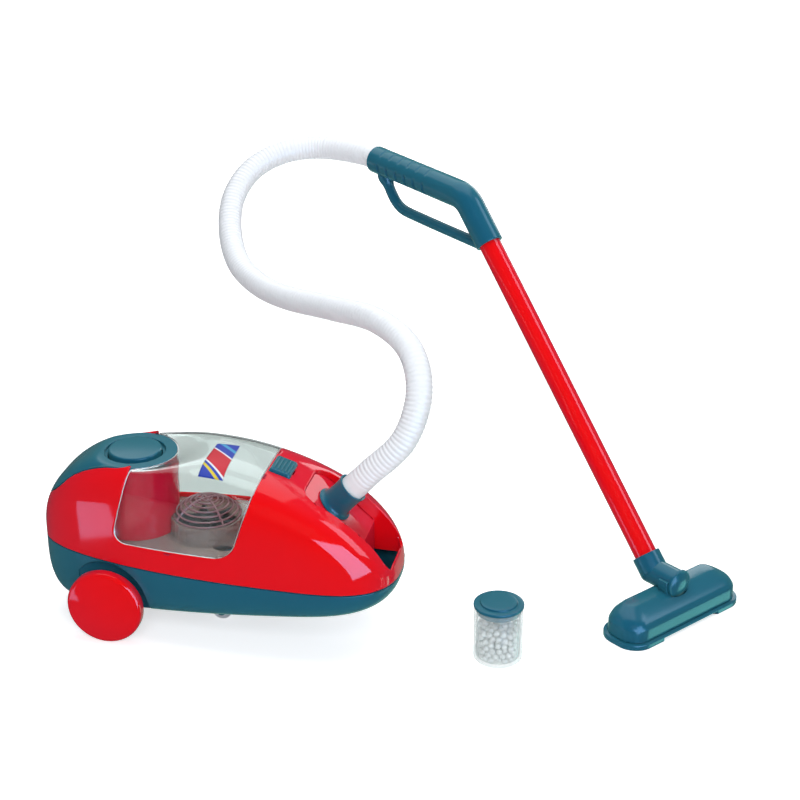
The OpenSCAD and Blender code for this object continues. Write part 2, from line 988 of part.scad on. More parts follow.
module rear_axle() {
    color(STEEL)
    placed()
    translate([0, 0, wheel_r])
        rotate([90, 0, 0])
            cylinder(r = axle_r, h = 2 * (wheel_in + wheel_w - cap_t), center = true);
}

// Section of a rear wheel: radius, then distance out from its inner face
module wheel_section() {
    flat_r = wheel_r - wheel_edge;
    inner_r = wheel_r - wheel_web;
    bore_r = axle_r + fit;
    bore_end = wheel_w - cap_t + play;
    polygon(concat(
        [[0, bore_end], [bore_r, bore_end], [bore_r, 0], [hub_r, 0], [hub_r, wheel_w - wheel_web],
         [inner_r, wheel_w - wheel_web], [inner_r, 0], [wheel_r, 0]],
        [for (a = [0:15:90]) [flat_r + wheel_edge * cos(a), wheel_w - wheel_edge + wheel_edge * sin(a)]],
        [for (i = [1:8]) [flat_r * (1 - i / 8), wheel_w + wheel_dome * (1 - pow(1 - i / 8, 2))]]));
}

module rear_wheel(side) {
    color(RED)
    placed()
    translate([0, side * wheel_in, wheel_r])
        rotate([-side * 90, 0, 0])
            rotate_extrude()
                wheel_section();
}

module rear_wheel_left() {
    rear_wheel(1);
}

module rear_wheel_right() {
    rear_wheel(-1);
}

module castor_bush() {
    color(WHITE)
    placed()
    translate([castor_x, 0, castor_top_z + play])
        difference() {
            cylinder(r = bush_r, h = bush_h - play);
            translate([0, 0, -cut])
                cylinder(r = castor_stem_r + fit, h = bush_h + cut);
        }
}

module castor_fork() {
    arm_y = castor_w / 2 + play;
    color(TEAL)
    placed()
    translate([castor_x, 0, 0])
        difference() {
            union() {
                translate([0, 0, castor_top_z - castor_flange_t])
                    cylinder(r = castor_flange_r, h = castor_flange_t);
                translate([0, 0, castor_top_z - castor_flange_t])
                    cylinder(r = castor_stem_r, h = castor_flange_t + bush_h - play);
                for (side = [-1, 1])
                    hull() {
                        translate([-castor_trail, side * (arm_y + castor_arm_t / 2), castor_r])
                            rotate([90, 0, 0])
                                cylinder(r = castor_r / 2, h = castor_arm_t, center = true);
                        translate([0, side * (arm_y + castor_arm_t / 2), castor_top_z - castor_flange_t])
                            cube([castor_flange_r, castor_arm_t, castor_flange_t], center = true);
                    }
            }
            translate([-castor_trail, 0, castor_r])
                rotate([90, 0, 0])
                    cylinder(r = castor_pin_r, h = 3 * castor_w, center = true);
        }
}

module castor_wheel() {
    color(DARK)
    placed()
    translate([castor_x - castor_trail, 0, castor_r])
        rotate([90, 0, 0])
            difference() {
                cylinder(r = castor_r, h = castor_w, center = true);
                cylinder(r = castor_pin_r + fit, h = 2 * castor_w, center = true);
            }
}

module castor_pin() {
    color(STEEL)
    placed()
    translate([castor_x - castor_trail, 0, castor_r])
        rotate([90, 0, 0])
            cylinder(r = castor_pin_r, h = castor_w + 2 * play + 2 * castor_arm_t, center = true);
}

// Trumpet section: radius, then height along the connector's axis
module connector_section() {
    curve_l = connector_l - flange_t;
    foot_flare = flange_r - flange_lip - waist_r;
    rim_flare = rim_r - waist_r;
    polygon(concat(
        [[connector_bore_r, -spigot_l], [connector_bore_r, connector_l - hose_seat],
         [hose_seat_r, connector_l - hose_seat], [hose_seat_r, connector_l], [rim_r, connector_l]],
        [for (i = [1:10])
            let (t = 1 - i / 10)
                [waist_r + foot_flare * pow(1 - t, 4) + rim_flare * pow(t, 4), flange_t + curve_l * t]],
        [[flange_r, flange_t], [flange_r, gap], [spigot_r, gap], [spigot_r, -spigot_l]]));
}

module hose_connector() {
    color(TEAL)
    placed()
    translate(connector_foot)
        rotate([0, pocket_slope, 0])
            rotate_extrude()
                connector_section();
}

// Hose: a smooth curve through the route, walked in even steps of half a rib
function head_point(p) = [head_x + p[0] * cos(head_turn) - p[1] * sin(head_turn),
                          head_y + p[0] * sin(head_turn) + p[1] * cos(head_turn), p[2]];
hose_start = connector_foot + (connector_l - hose_seat + gap) * connector_dir;
hose_end = head_point(grip_end - (hose_seat - gap) * grip_dir);
hose_end_dir = head_point(grip_end) - head_point(grip_end - grip_dir);
route = concat([hose_start, hose_start + hose_lead * connector_dir], hose_route,
               [hose_end + hose_lead * hose_end_dir, hose_end]);
function tangent(i) = i == 0 ? connector_dir * hose_lead
    : i == len(route) - 1 ? -hose_end_dir * hose_lead
    : (route[i + 1] - route[i - 1]) / 2;
function hermite(a, b, ta, tb, t) = a * (2 * pow(t, 3) - 3 * t * t + 1) + ta * (pow(t, 3) - 2 * t * t + t)
    + b * (3 * t * t - 2 * pow(t, 3)) + tb * (pow(t, 3) - t * t);
fine = concat([for (i = [0:len(route) - 2], k = [0:route_steps - 1])
    hermite(route[i], route[i + 1], tangent(i), tangent(i + 1), k / route_steps)], [hose_end]);
fine_steps = [for (i = [0:len(fine) - 2]) norm(fine[i + 1] - fine[i])];
fine_steps_end = concat(fine_steps, [0]);
fine_runs = [for (s = 0, i = 0; i < len(fine); s = s + fine_steps_end[i], i = i + 1) s];
hose_l = fine_runs[len(fine) - 1];
function walk(s) = let (k = min(len(fine) - 2, len([for (r = fine_runs) if (r <= s) 1]) - 1),
    t = (s - fine_runs[k]) / (fine_runs[k + 1] - fine_runs[k])) fine[k] + t * (fine[k + 1] - fine[k]);
function unit(v) = v / norm(v);
function sweep_points(count) = [for (i = [0:count]) walk(min(hose_l, hose_l * i / count))];
function sweep_dirs(p) = [for (i = [0:len(p) - 1]) i == 0 ? connector_dir : i == len(p) - 1 ? -hose_end_dir
    : unit(p[i + 1] - p[i - 1])];
function sweep_normals(d) = [for (i = 0, n = [0, 1, 0]; i < len(d); i = i + 1,
    n = i < len(d) ? unit(n - (n * d[i]) * d[i]) : n) n];
function ring_at(p, d, n, r) = [for (k = [0:hose_sides - 1])
    p + r * cos(360 * k / hose_sides) * n + r * sin(360 * k / hose_sides) * cross(d, n)];
rib_count = floor(hose_l / rib_pitch);
function hose_rings(count, radii) = let (p = sweep_points(count), d = sweep_dirs(p), n = sweep_normals(d))
    [for (i = [0:count]) ring_at(p[i], d[i], n[i], radii[i % 2])];
function quad(a, b, c, d) = [[a, b, c], [a, c, d]];
function band(first, second, flip, sides = hose_sides) = [for (k = [0:sides - 1]) let (m = (k + 1) % sides)
    each flip ? quad(first + k, second + k, second + m, first + m)
              : quad(first + k, first + m, second + m, second + k)];

module hose() {
    outer = hose_rings(2 * rib_count, [hose_r, hose_r - rib_depth]);
    inner = hose_rings(bore_rings, [hose_bore_r, hose_bore_r]);
    base = len(outer) * hose_sides;
    last = (len(outer) - 1) * hose_sides;
    color(WHITE)
    placed()
    polyhedron(
        [for (ring = concat(outer, inner)) each ring],
        concat(
            [for (i = [0:len(outer) - 2]) each band(i * hose_sides, (i + 1) * hose_sides, true)],
            [for (i = [0:len(inner) - 2])
                each band(base + i * hose_sides, base + (i + 1) * hose_sides, false)],
            band(0, base, false),
            band(last, base + (len(inner) - 1) * hose_sides, true)));
}

// Straight round run in the wand's plane from one point to another
module wand_run(from, to, r) {
    run = to - from;
    translate(from)
        wand_turn(atan2(run[2], run[1]))
            cylinder(r = r, h = norm(run));
}

socket_rim = corner - socket_l * wand_dir;
bend_in = corner - bend_cut * wand_dir;
bend_out = corner + bend_cut * grip_dir;
bend_mid = bend_in + bend_r * [0, sin(wand_lean), -cos(wand_lean)];

// Ring of points across a line in the wand's plane
function plane_ring(p, lean, r, sides) = [for (k = [0:sides - 1])
    p + r * cos(360 * k / sides) * [1, 0, 0] + r * sin(360 * k / sides) * [0, -sin(lean), cos(lean)]];

// Round bar through places in the wand's plane, each with its lean and radius
module plane_sweep(places, leans, radii, sides) {
    last = len(places) - 1;
    polyhedron(
        [for (i = [0:last]) each plane_ring(places[i], leans[i], radii[i], sides)],
        concat(
            [[for (k = [0:sides - 1]) sides - 1 - k]],
            [for (i = [0:last - 1]) each band(i * sides, (i + 1) * sides, false, sides)],
            [[for (k = [0:sides - 1]) last * sides + k]]));
}

grip_up = [0, -sin(grip_lean), cos(grip_lean)];
bend_shares = [for (i = [0:bend_steps]) i / bend_steps];
bend_leans = [for (share = bend_shares) wand_lean - share * bend_turn];
guard = [for (share = guard_shares) corner + grip_l * share[0] * grip_dir + grip_r * share[1] * grip_up];
guard_last = len(guard) - 1;
function guard_way(i) = unit(guard[min(i + 1, guard_last)] - guard[max(i - 1, 0)]);
guard_line = concat([for (i = [0:guard_last - 1], k = [0:guard_steps - 1])
    let (run = norm(guard[i + 1] - guard[i]))
    hermite(guard[i], guard[i + 1], run * guard_way(i), run * guard_way(i + 1), k / guard_steps)],
    [guard[guard_last]]);
guard_end = len(guard_line) - 1;
function guard_lean(i) = let (run = guard_line[min(i + 1, guard_end)] - guard_line[max(i - 1, 0)])
    atan2(run[2], run[1]);

module handle() {
    $fn = grip_sides;
    color(TEAL)
    at_head()
    difference() {
        union() {
            plane_sweep(
                concat([socket_rim],
                       [for (lean = bend_leans) bend_mid + bend_r * [0, -sin(lean), cos(lean)]], [grip_end]),
                concat([wand_lean], bend_leans, [grip_lean]),
                concat([socket_r],
                       [for (share = bend_shares) socket_r + share * (grip_r - socket_r)], [grip_r]),
                grip_sides);
            plane_sweep(guard_line, [for (i = [0:guard_end]) guard_lean(i)],
                        [for (i = [0:guard_end]) guard_r], guard_sides);
        }
        for (i = [0:groove_count - 1], side = [0, 1])
            translate(grip_end - (groove_start + i * groove_pitch) * grip_dir
                      + (side == 0 ? -1 : 1) * (grip_r + groove_r - groove_depths[side]) * grip_up)
                rotate([0, 90, 0])
                    cylinder(r = groove_r, h = 2 * grip_r, center = true);
        wand_run(grip_end - hose_seat * grip_dir, grip_end + cut * grip_dir, grip_seat_r);
        wand_run(socket_rim - cut * wand_dir, socket_rim + socket_bore * wand_dir, tube_r + gap);
    }
}

module wand_tube() {
    foot = [0, neck_rim[0], neck_rim[1]] - tube_seat * wand_dir;
    top = socket_rim + (socket_bore - play) * wand_dir;
    color(RED)
    at_head()
    difference() {
        wand_run(foot, top, tube_r);
        wand_run(foot - cut * wand_dir, top + cut * wand_dir, tube_r - wall / 2);
    }
}

module nozzle_neck() {
    rim = [0, neck_rim[0], neck_rim[1]];
    elbow = [0, elbow_y, barrel_z];
    color(TEAL)
    at_head()
    difference() {
        union() {
            wand_run([0, barrel_front + cap_l, barrel_z], elbow, barrel_r);
            wand_run([0, barrel_front, barrel_z], [0, barrel_front + cap_l, barrel_z], cap_r);
            wand_run(rim - neck_l * wand_dir, rim, neck_r);
            translate(elbow)
                sphere(barrel_r);
        }
        wand_run(rim - (tube_seat + gap) * wand_dir, rim + cut * wand_dir, tube_r + gap);
    }
}

module sole_outline(grow) {
    translate([0, sole_set])
        hull()
            for (sx = [-1, 1], sy = [-1, 1])
                translate([sx * (sole_l / 2 - sole_corner_r), sy * (sole_d / 2 - sole_corner_r)])
                    circle(sole_corner_r + grow);
}

// Four upright discs at the corners of the sole, drawn in by taper
module sole_corners(z, taper) {
    for (sx = [-1, 1], sy = [-1, 1])
        translate([sx * (sole_l / 2 - sole_corner_r), sole_set + sy * (sole_d / 2 - sole_corner_r), z])
            cylinder(r = sole_corner_r - taper, h = gap);
}

// The floor head's form, drawn in by inset on its sides and top
module head_form(inset) {
    hull() {
        sole_corners(sole_t, head_taper + inset);
        sole_corners(head_wall_z - inset, head_taper + gap + inset);
        sole_corners(head_brow_z - inset, head_brow_taper + inset);
        for (side = [-1, 1])
            translate([side * (ridge_l - ridge_d) / 2, sole_set + ridge_shift, head_h - inset - gap])
                cylinder(r = ridge_d / 2, h = gap);
    }
}

module along_barrel(y) {
    translate([0, y, barrel_z])
        rotate([-90, 0, 0])
            children();
}

module nozzle_head() {
    collar_y = barrel_front + cap_l + play;
    collar_out_r = barrel_r + fit + collar_t;
    color(TEAL)
    at_head()
    difference() {
        union() {
            head_form(0);
            along_barrel(collar_y)
                cylinder(r = collar_out_r, h = collar_w);
        }
        difference() {
            head_form(head_wall);
            along_barrel(-sole_d)
                cylinder(r = neck_r + 2 * play + head_wall, h = 3 * sole_d);
        }
        along_barrel(-sole_d)
            cylinder(r = barrel_r + fit, h = 3 * sole_d);
        along_barrel(collar_y - sole_d)
            cylinder(r = cap_r + play, h = sole_d);
        along_barrel(collar_y + collar_w)
            cylinder(r = neck_r + 2 * play, h = sole_d);
        translate([-collar_out_r, -sole_d, barrel_z + collar_rise])
            cube([2 * collar_out_r, 3 * sole_d, sole_d]);
        sole_screw_spots()
            cylinder(r = screw_r, h = screw_grip);
    }
}

module nozzle_sole() {
    color(TEAL)
    at_head()
    difference() {
        linear_extrude(sole_t)
            sole_outline(0);
        translate([-mouth_l / 2, sole_set - mouth_d / 2, -cut])
            cube([mouth_l, mouth_d, sole_t + 2 * cut]);
        translate([-notch_l / 2, sole_set - sole_d, -cut])
            cube([notch_l, sole_d / 2 + notch_d, notch_h + cut]);
        sole_screw_spots()
            translate([0, 0, -cut])
                cylinder(r = screw_head_r + gap, h = screw_head_h + play + cut);
        sole_screw_spots()
            translate([0, 0, -cut])
                cylinder(r = screw_r + gap, h = sole_t + 2 * cut);
    }
}

module sole_screw_spots() {
    for (side = [-1, 1])
        translate([side * sole_screw_share * sole_l, sole_set, 0])
            children();
}

module sole_screws() {
    color(STEEL)
    at_head()
    sole_screw_spots()
        translate([0, 0, screw_head_h + play])
            screw(screw_grip);
}

module at_jar() {
    placed() translate([jar_x, jar_y, 0]) children();
}

module jar() {
    color(CLEAR)
    at_jar()
    difference() {
        cylinder(r = jar_r, h = jar_h);
        translate([0, 0, jar_base])
            cylinder(r = jar_r - jar_wall, h = jar_h);
    }
}

module jar_lid() {
    color(TEAL)
    at_jar()
    translate([0, 0, jar_h + gap - jar_plug_h])
        difference() {
            union() {
                cylinder(r = jar_plug_r, h = jar_plug_h + jar_lid_rim);
                translate([0, 0, jar_plug_h])
                    cylinder(r = jar_r + jar_lid_lip, h = jar_lid_rim);
                cylinder(r = jar_lid_step_r, h = jar_lid_h);
            }
            translate([0, 0, -cut])
                cylinder(r = jar_plug_r - jar_lid_wall, h = jar_plug_h + cut);
        }
}

module foam_balls() {
    room = jar_r - jar_wall - ball_r - gap;
    layer_h = 2 * ball_r + gap;
    color(WHITE)
    at_jar()
    for (layer = [0:ball_layers - 1])
        translate([0, 0, jar_base + ball_r + gap + layer * layer_h])
            for (ring = [0:len(ball_ring_counts) - 1])
                for (k = [0:ball_ring_counts[ring] - 1])
                    rotate([0, 0, 360 * k / ball_ring_counts[ring]])
                        translate([ball_ring_shares[ring] * room, 0, 0])
                            sphere(ball_r);
}

lower_shell();
upper_shell();
rear_panel();
power_button();
button_spring();
power_switch();
window_lid();
lid_latch();
motor_tower();
chamber_floor();
chamber_bulkhead();
filter_grille();
fan_impeller();
motor_shaft();
motor();
motor_mount();
batteries();
battery_tray();
battery_contacts();
battery_door();
rear_axle();
rear_wheel_right();
rear_wheel_left();
castor_bush();
castor_fork();
castor_pin();
castor_wheel();
hose_connector();
hose();
handle();
wand_tube();
nozzle_neck();
nozzle_head();
nozzle_sole();
sole_screws();
body_screws();
jar();
jar_lid();
foam_balls();
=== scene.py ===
"""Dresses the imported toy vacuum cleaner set: smooth mouldings, ribbed hose, clear lid and jar, studio."""

import json
import math
import random

import bmesh
import bpy
from mathutils import Matrix, Quaternion, Vector


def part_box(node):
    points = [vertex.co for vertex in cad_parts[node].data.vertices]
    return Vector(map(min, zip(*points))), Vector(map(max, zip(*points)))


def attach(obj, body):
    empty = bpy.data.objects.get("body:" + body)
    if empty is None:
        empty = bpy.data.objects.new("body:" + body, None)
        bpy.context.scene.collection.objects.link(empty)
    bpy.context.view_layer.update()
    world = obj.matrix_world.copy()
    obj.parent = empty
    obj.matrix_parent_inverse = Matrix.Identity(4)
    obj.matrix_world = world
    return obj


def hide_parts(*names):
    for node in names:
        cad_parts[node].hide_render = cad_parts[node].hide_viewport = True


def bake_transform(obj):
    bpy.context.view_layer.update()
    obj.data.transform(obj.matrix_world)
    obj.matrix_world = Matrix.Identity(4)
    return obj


bl_info = {
    "name": "Toy Vacuum Cleaner Set",
    "version": (1, 0, 0),
    "blender": (4, 5, 0),
    "location": "View3D > Sidebar > Toy Vacuum",
    "description": "Builds the visible pieces of a toy canister vacuum cleaner set on its packed frame",
    "category": "Object",
}

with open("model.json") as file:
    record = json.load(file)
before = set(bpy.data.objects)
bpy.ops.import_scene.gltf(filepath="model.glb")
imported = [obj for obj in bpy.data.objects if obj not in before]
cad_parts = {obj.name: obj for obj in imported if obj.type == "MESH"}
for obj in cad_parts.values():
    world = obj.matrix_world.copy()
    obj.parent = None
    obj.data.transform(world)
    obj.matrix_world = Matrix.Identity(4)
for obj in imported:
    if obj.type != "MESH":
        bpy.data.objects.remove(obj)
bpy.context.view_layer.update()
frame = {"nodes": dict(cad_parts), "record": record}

MM = 0.001
AXLE_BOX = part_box("rear_axle")
AXLE = [(AXLE_BOX[0][i] + AXLE_BOX[1][i]) / 2 for i in range(2)]


# Property groups

class CanisterSizes(bpy.types.PropertyGroup):
    """Sizes of the canister's mouldings"""
    length: bpy.props.FloatProperty(
        name="Length", description="Canister from tail to nose", default=0.314, unit="LENGTH")
    width: bpy.props.FloatProperty(
        name="Width", description="Largest width over the shells", default=0.119, unit="LENGTH")
    crown: bpy.props.FloatProperty(
        name="Crown", description="Height of the crown above the seam", default=0.094, unit="LENGTH")
    seam: bpy.props.FloatProperty(
        name="Seam", description="Height of the seam over the rear axle", default=0.070, unit="LENGTH")
    seam_fall: bpy.props.FloatProperty(
        name="Seam fall", description="Fall of the seam from tail to nose", default=0.007, unit="LENGTH")
    keel: bpy.props.FloatProperty(
        name="Keel", description="Height of the underside at the rear axle", default=0.0205, unit="LENGTH")
    keel_rise: bpy.props.FloatProperty(
        name="Keel rise", description="Rise of the underside from tail to nose", default=0.0195, unit="LENGTH")
    axle_inset: bpy.props.FloatProperty(
        name="Axle inset", description="Rear axle in front of the tail", default=0.070, unit="LENGTH")
    wall: bpy.props.FloatProperty(
        name="Wall", description="Wall of the moulded shells", default=0.0024, unit="LENGTH")
    clear_wall: bpy.props.FloatProperty(
        name="Clear wall", description="Wall of the clear lid", default=0.002, unit="LENGTH")
    wheel_radius: bpy.props.FloatProperty(
        name="Wheel radius", description="Radius of the rear wheels", default=0.033, unit="LENGTH")
    button_radius: bpy.props.FloatProperty(
        name="Button radius", description="Radius of the power button", default=0.0225, unit="LENGTH")


class HoseSizes(bpy.types.PropertyGroup):
    """Sizes of the ribbed hose"""
    diameter: bpy.props.FloatProperty(
        name="Diameter", description="Outer diameter over the ribs", default=0.023, unit="LENGTH")
    rib_pitch: bpy.props.FloatProperty(
        name="Rib pitch", description="Distance between ribs", default=0.0038, unit="LENGTH")
    rib_depth: bpy.props.FloatProperty(
        name="Rib depth", description="Depth of the grooves between ribs", default=0.0009, unit="LENGTH")


class WandSizes(bpy.types.PropertyGroup):
    """Sizes of the wand and the floor head"""
    lean: bpy.props.FloatProperty(
        name="Lean", description="Lean of the wand above level", default=math.radians(48), subtype="ANGLE")
    turn: bpy.props.FloatProperty(
        name="Turn", description="Turn of the floor head's long side", default=math.radians(52), subtype="ANGLE")
    tube_length: bpy.props.FloatProperty(
        name="Tube length", description="Tube between its two sleeves", default=0.311, unit="LENGTH")
    tube_radius: bpy.props.FloatProperty(
        name="Tube radius", description="Radius of the tube", default=0.010, unit="LENGTH")
    grip_length: bpy.props.FloatProperty(
        name="Grip length", description="Grip from its bend to the hose", default=0.128, unit="LENGTH")
    grip_radius: bpy.props.FloatProperty(
        name="Grip radius", description="Radius of the grip", default=0.0128, unit="LENGTH")
    sole_length: bpy.props.FloatProperty(
        name="Sole length", description="Length of the floor head", default=0.142, unit="LENGTH")
    sole_depth: bpy.props.FloatProperty(
        name="Sole depth", description="Depth of the floor head", default=0.048, unit="LENGTH")


class JarSizes(bpy.types.PropertyGroup):
    """Sizes of the jar of foam balls"""
    radius: bpy.props.FloatProperty(
        name="Radius", description="Outer radius of the jar", default=0.0205, unit="LENGTH")
    height: bpy.props.FloatProperty(
        name="Height", description="Height of the jar without its lid", default=0.0485, unit="LENGTH")
    lid_height: bpy.props.FloatProperty(
        name="Lid height", description="Height of the lid with its plug", default=0.0103, unit="LENGTH")
    ball_radius: bpy.props.FloatProperty(
        name="Ball radius", description="Radius of a foam ball", default=0.0029, unit="LENGTH")
    ball_count: bpy.props.IntProperty(
        name="Ball count", description="Number of foam balls", default=190)


class Finishes(bpy.types.PropertyGroup):
    """Colours of the plastics"""
    red: bpy.props.FloatVectorProperty(
        name="Red", description="Glossy red plastic", default=(0.97, 0.001, 0.003), subtype="COLOR")
    teal: bpy.props.FloatVectorProperty(
        name="Teal", description="Satin blue-green plastic", default=(0.0075, 0.115, 0.2), subtype="COLOR")
    clear: bpy.props.FloatVectorProperty(
        name="Clear", description="Tint of the clear plastic", default=(0.88, 0.95, 0.915), subtype="COLOR")
    white: bpy.props.FloatVectorProperty(
        name="White", description="Hose plastic", default=(0.97, 0.98, 1.0), subtype="COLOR")
    foam: bpy.props.FloatVectorProperty(
        name="Foam", description="Foam balls", default=(0.88, 0.88, 0.87), subtype="COLOR")
    label: bpy.props.FloatVectorProperty(
        name="Label", description="Field of the lid's label", default=(0.012, 0.045, 0.42), subtype="COLOR")


class Studio(bpy.types.PropertyGroup):
    """Camera and light"""
    camera_place: bpy.props.FloatVectorProperty(
        name="Camera", description="Camera seen from the rear axle", default=(0.50967, -1.25793, 0.79349),
        subtype="TRANSLATION", unit="LENGTH")
    camera_turn: bpy.props.FloatVectorProperty(
        name="Camera turn", description="Turn of the camera", default=(math.radians(66), 0, math.radians(12)),
        subtype="EULER")
    lens: bpy.props.FloatProperty(
        name="Lens", description="Focal length on a 36 mm sensor, in mm", default=78.75)
    sky: bpy.props.FloatProperty(
        name="Sky", description="Strength of the white surround", default=0.22)
    floor_glow: bpy.props.FloatProperty(
        name="Floor glow", description="Light that the floor adds where it is seen", default=0.6)


class ToyVacuum(bpy.types.PropertyGroup):
    """All values of the set"""
    canister: bpy.props.PointerProperty(type=CanisterSizes, name="Canister")
    hose: bpy.props.PointerProperty(type=HoseSizes, name="Hose")
    wand: bpy.props.PointerProperty(type=WandSizes, name="Wand")
    jar: bpy.props.PointerProperty(type=JarSizes, name="Jar")
    finishes: bpy.props.PointerProperty(type=Finishes, name="Finishes")
    studio: bpy.props.PointerProperty(type=Studio, name="Studio")


def settings():
    return bpy.context.scene.toy_vacuum


def in_mm(length):
    return length / MM


# Materials

def node(tree, kind, inputs=(), **values):
    """Adds a node, sets its own values, then its inputs: constants, or the outputs that feed them"""
    made = tree.nodes.new(kind)
    for name, value in values.items():
        setattr(made, name, value)
    for socket, value in dict(inputs).items():
        if isinstance(value, bpy.types.NodeSocket):
            tree.links.new(value, made.inputs[socket])
        else:
            made.inputs[socket].default_value = value
    return made


def node_group(name, takes, gives):
    """A new node group with its sockets: Color and Field hold colours, the others numbers"""
    group = bpy.data.node_groups.new(name, "ShaderNodeTree")
    for way, names in (("INPUT", takes), ("OUTPUT", gives)):
        for socket in names:
            kind = "NodeSocketColor" if socket in ("Color", "Field") else "NodeSocketFloat"
            group.interface.new_socket(name=socket, in_out=way, socket_type=kind)
    return group


def moulded_surface():
    """Node group shared by the plastics: slow colour drift, polish marks and a fine mould grain"""
    group = bpy.data.node_groups.get("moulded_surface")
    if group:
        return group
    group = node_group("moulded_surface", ("Color", "Drift", "Polish", "Polish Spread", "Cloud Scale", "Grain Scale"),
                       ("Color", "Roughness", "Height"))
    given = node(group, "NodeGroupInput").outputs
    place = node(group, "ShaderNodeTexCoord").outputs["Object"]
    cloud, wipe, grain = (
        node(group, "ShaderNodeTexNoise", {"Vector": place, "Scale": given[scale], "Detail": detail}).outputs["Fac"]
        for scale, detail in (("Cloud Scale", 3), ("Cloud Scale", 2), ("Grain Scale", 4)))
    darker = node(group, "ShaderNodeMath", {0: 1, 1: given["Drift"]}, operation="SUBTRACT")
    shade = node(group, "ShaderNodeMapRange", {"Value": cloud, "To Min": 1, "To Max": darker.outputs["Value"]})
    tint = node(group, "ShaderNodeMix", {"Factor": 1, "A": given["Color"], "B": shade.outputs["Result"]},
                data_type="RGBA", blend_type="MULTIPLY")
    spread = node(group, "ShaderNodeMath", {0: wipe, 1: given["Polish Spread"], 2: given["Polish"]},
                  operation="MULTIPLY_ADD")
    node(group, "NodeGroupOutput",
         {"Color": tint.outputs["Result"], "Roughness": spread.outputs["Value"], "Height": grain})
    return group


def plastic(name, color, polish, spread=0.06, drift=0.06, cloud=22.0, grain=900.0, bump=0.04, edge=None, **sockets):
    """Material of one moulded plastic, with its constants set on the shader's own sockets; an edge colour, when given,
    is painted sheen at grazing angles
    """
    material = bpy.data.materials.get(name)
    if material:
        return material
    material = bpy.data.materials.new(name)
    material.use_nodes = True
    tree = material.node_tree
    shader = tree.nodes["Principled BSDF"].inputs
    surface = node(tree, "ShaderNodeGroup",
                   {"Color": (*color, 1), "Drift": drift, "Polish": polish, "Polish Spread": spread,
                    "Cloud Scale": cloud, "Grain Scale": grain}, node_tree=moulded_surface()).outputs
    base = surface["Color"]
    # Painted sheen: towards grazing angles the base colour blends to the edge colour, a tint standing in for the
    # surround reflected in the plastic
    if edge:
        facing = node(tree, "ShaderNodeLayerWeight", {"Blend": 0.3}).outputs["Facing"]
        base = node(tree, "ShaderNodeMix", {"Factor": facing, "A": base, "B": (*edge, 1)},
                    data_type="RGBA").outputs["Result"]
    tree.links.new(base, shader["Base Color"])
    tree.links.new(surface["Roughness"], shader["Roughness"])
    if bump:
        relief = node(tree, "ShaderNodeBump", {"Strength": bump, "Distance": 0.0002, "Height": surface["Height"]})
        tree.links.new(relief.outputs["Normal"], shader["Normal"])
    for socket, value in sockets.items():
        shader[socket.replace("_", " ")].default_value = value
    return material


def lets_lamps_through(material):
    """Clear plastic that casts only a faint shadow on what is behind it"""
    tree = material.node_tree
    if not tree.nodes.get("lamp_mix"):
        film = node(tree, "ShaderNodeBsdfTransparent", {"Color": (0.9, 0.93, 0.91, 1)})
        path = node(tree, "ShaderNodeLightPath")
        mix = node(tree, "ShaderNodeMixShader",
                   {"Fac": path.outputs["Is Shadow Ray"], 1: tree.nodes["Principled BSDF"].outputs["BSDF"],
                    2: film.outputs["BSDF"]}, name="lamp_mix")
        tree.links.new(mix.outputs["Shader"], tree.nodes["Material Output"].inputs["Surface"])
    return material


def red_plastic():
    # Painted reflection: the edge colour turns the red darker and pinker towards grazing angles
    return plastic("glossy_red", settings().finishes.red, 0.05, 0.04, 0.05, bump=0.01,
                   edge=(0.62, 0.035, 0.09))


def teal_plastic():
    # Painted reflection: the edge colour turns the teal a lighter green towards grazing angles, standing in for the
    # pale floor mirrored in it
    return plastic("satin_teal", settings().finishes.teal, 0.16, 0.06, 0.08, bump=0.02,
                   edge=(0.05, 0.24, 0.24), Specular_IOR_Level=0.4)


def clear_plastic():
    return lets_lamps_through(plastic("clear_styrene", settings().finishes.clear, 0.015, 0.02, 0.02, bump=0,
                                      Transmission_Weight=1.0, IOR=1.46))


def clear_edge():
    return plastic("clear_edge", settings().finishes.clear, 0.3, 0.05, 0.02, bump=0, Transmission_Weight=0.35)


def jar_plastic():
    """Thin clear wall with a milky haze that thickens towards its sides"""
    material = plastic("milky_styrene", (0.9, 1.0, 0.96), 0.06, 0.03, 0.03, bump=0)
    tree = material.node_tree
    if not tree.nodes.get("haze"):
        facing = node(tree, "ShaderNodeLayerWeight", {"Blend": 0.35}).outputs["Facing"]
        haze = node(tree, "ShaderNodeMapRange", {"Value": facing, "To Min": 0.13, "To Max": 0.5}, name="haze")
        tree.links.new(haze.outputs["Result"], tree.nodes["Principled BSDF"].inputs["Alpha"])
    return material


def smoky_plastic():
    return plastic("smoky_styrene", (0.8, 0.6, 0.56), 0.06, 0.05, 0.08, bump=0, Transmission_Weight=0.75)


def chamber_red():
    return plastic("chamber_red", (0.56, 0.001, 0.022), 0.12, 0.05, 0.06, bump=0.01)


def rosy_plastic():
    return plastic("rosy_styrene", (0.3, 0.13, 0.15), 0.15, 0.05, 0.08, bump=0, Transmission_Weight=0.15)


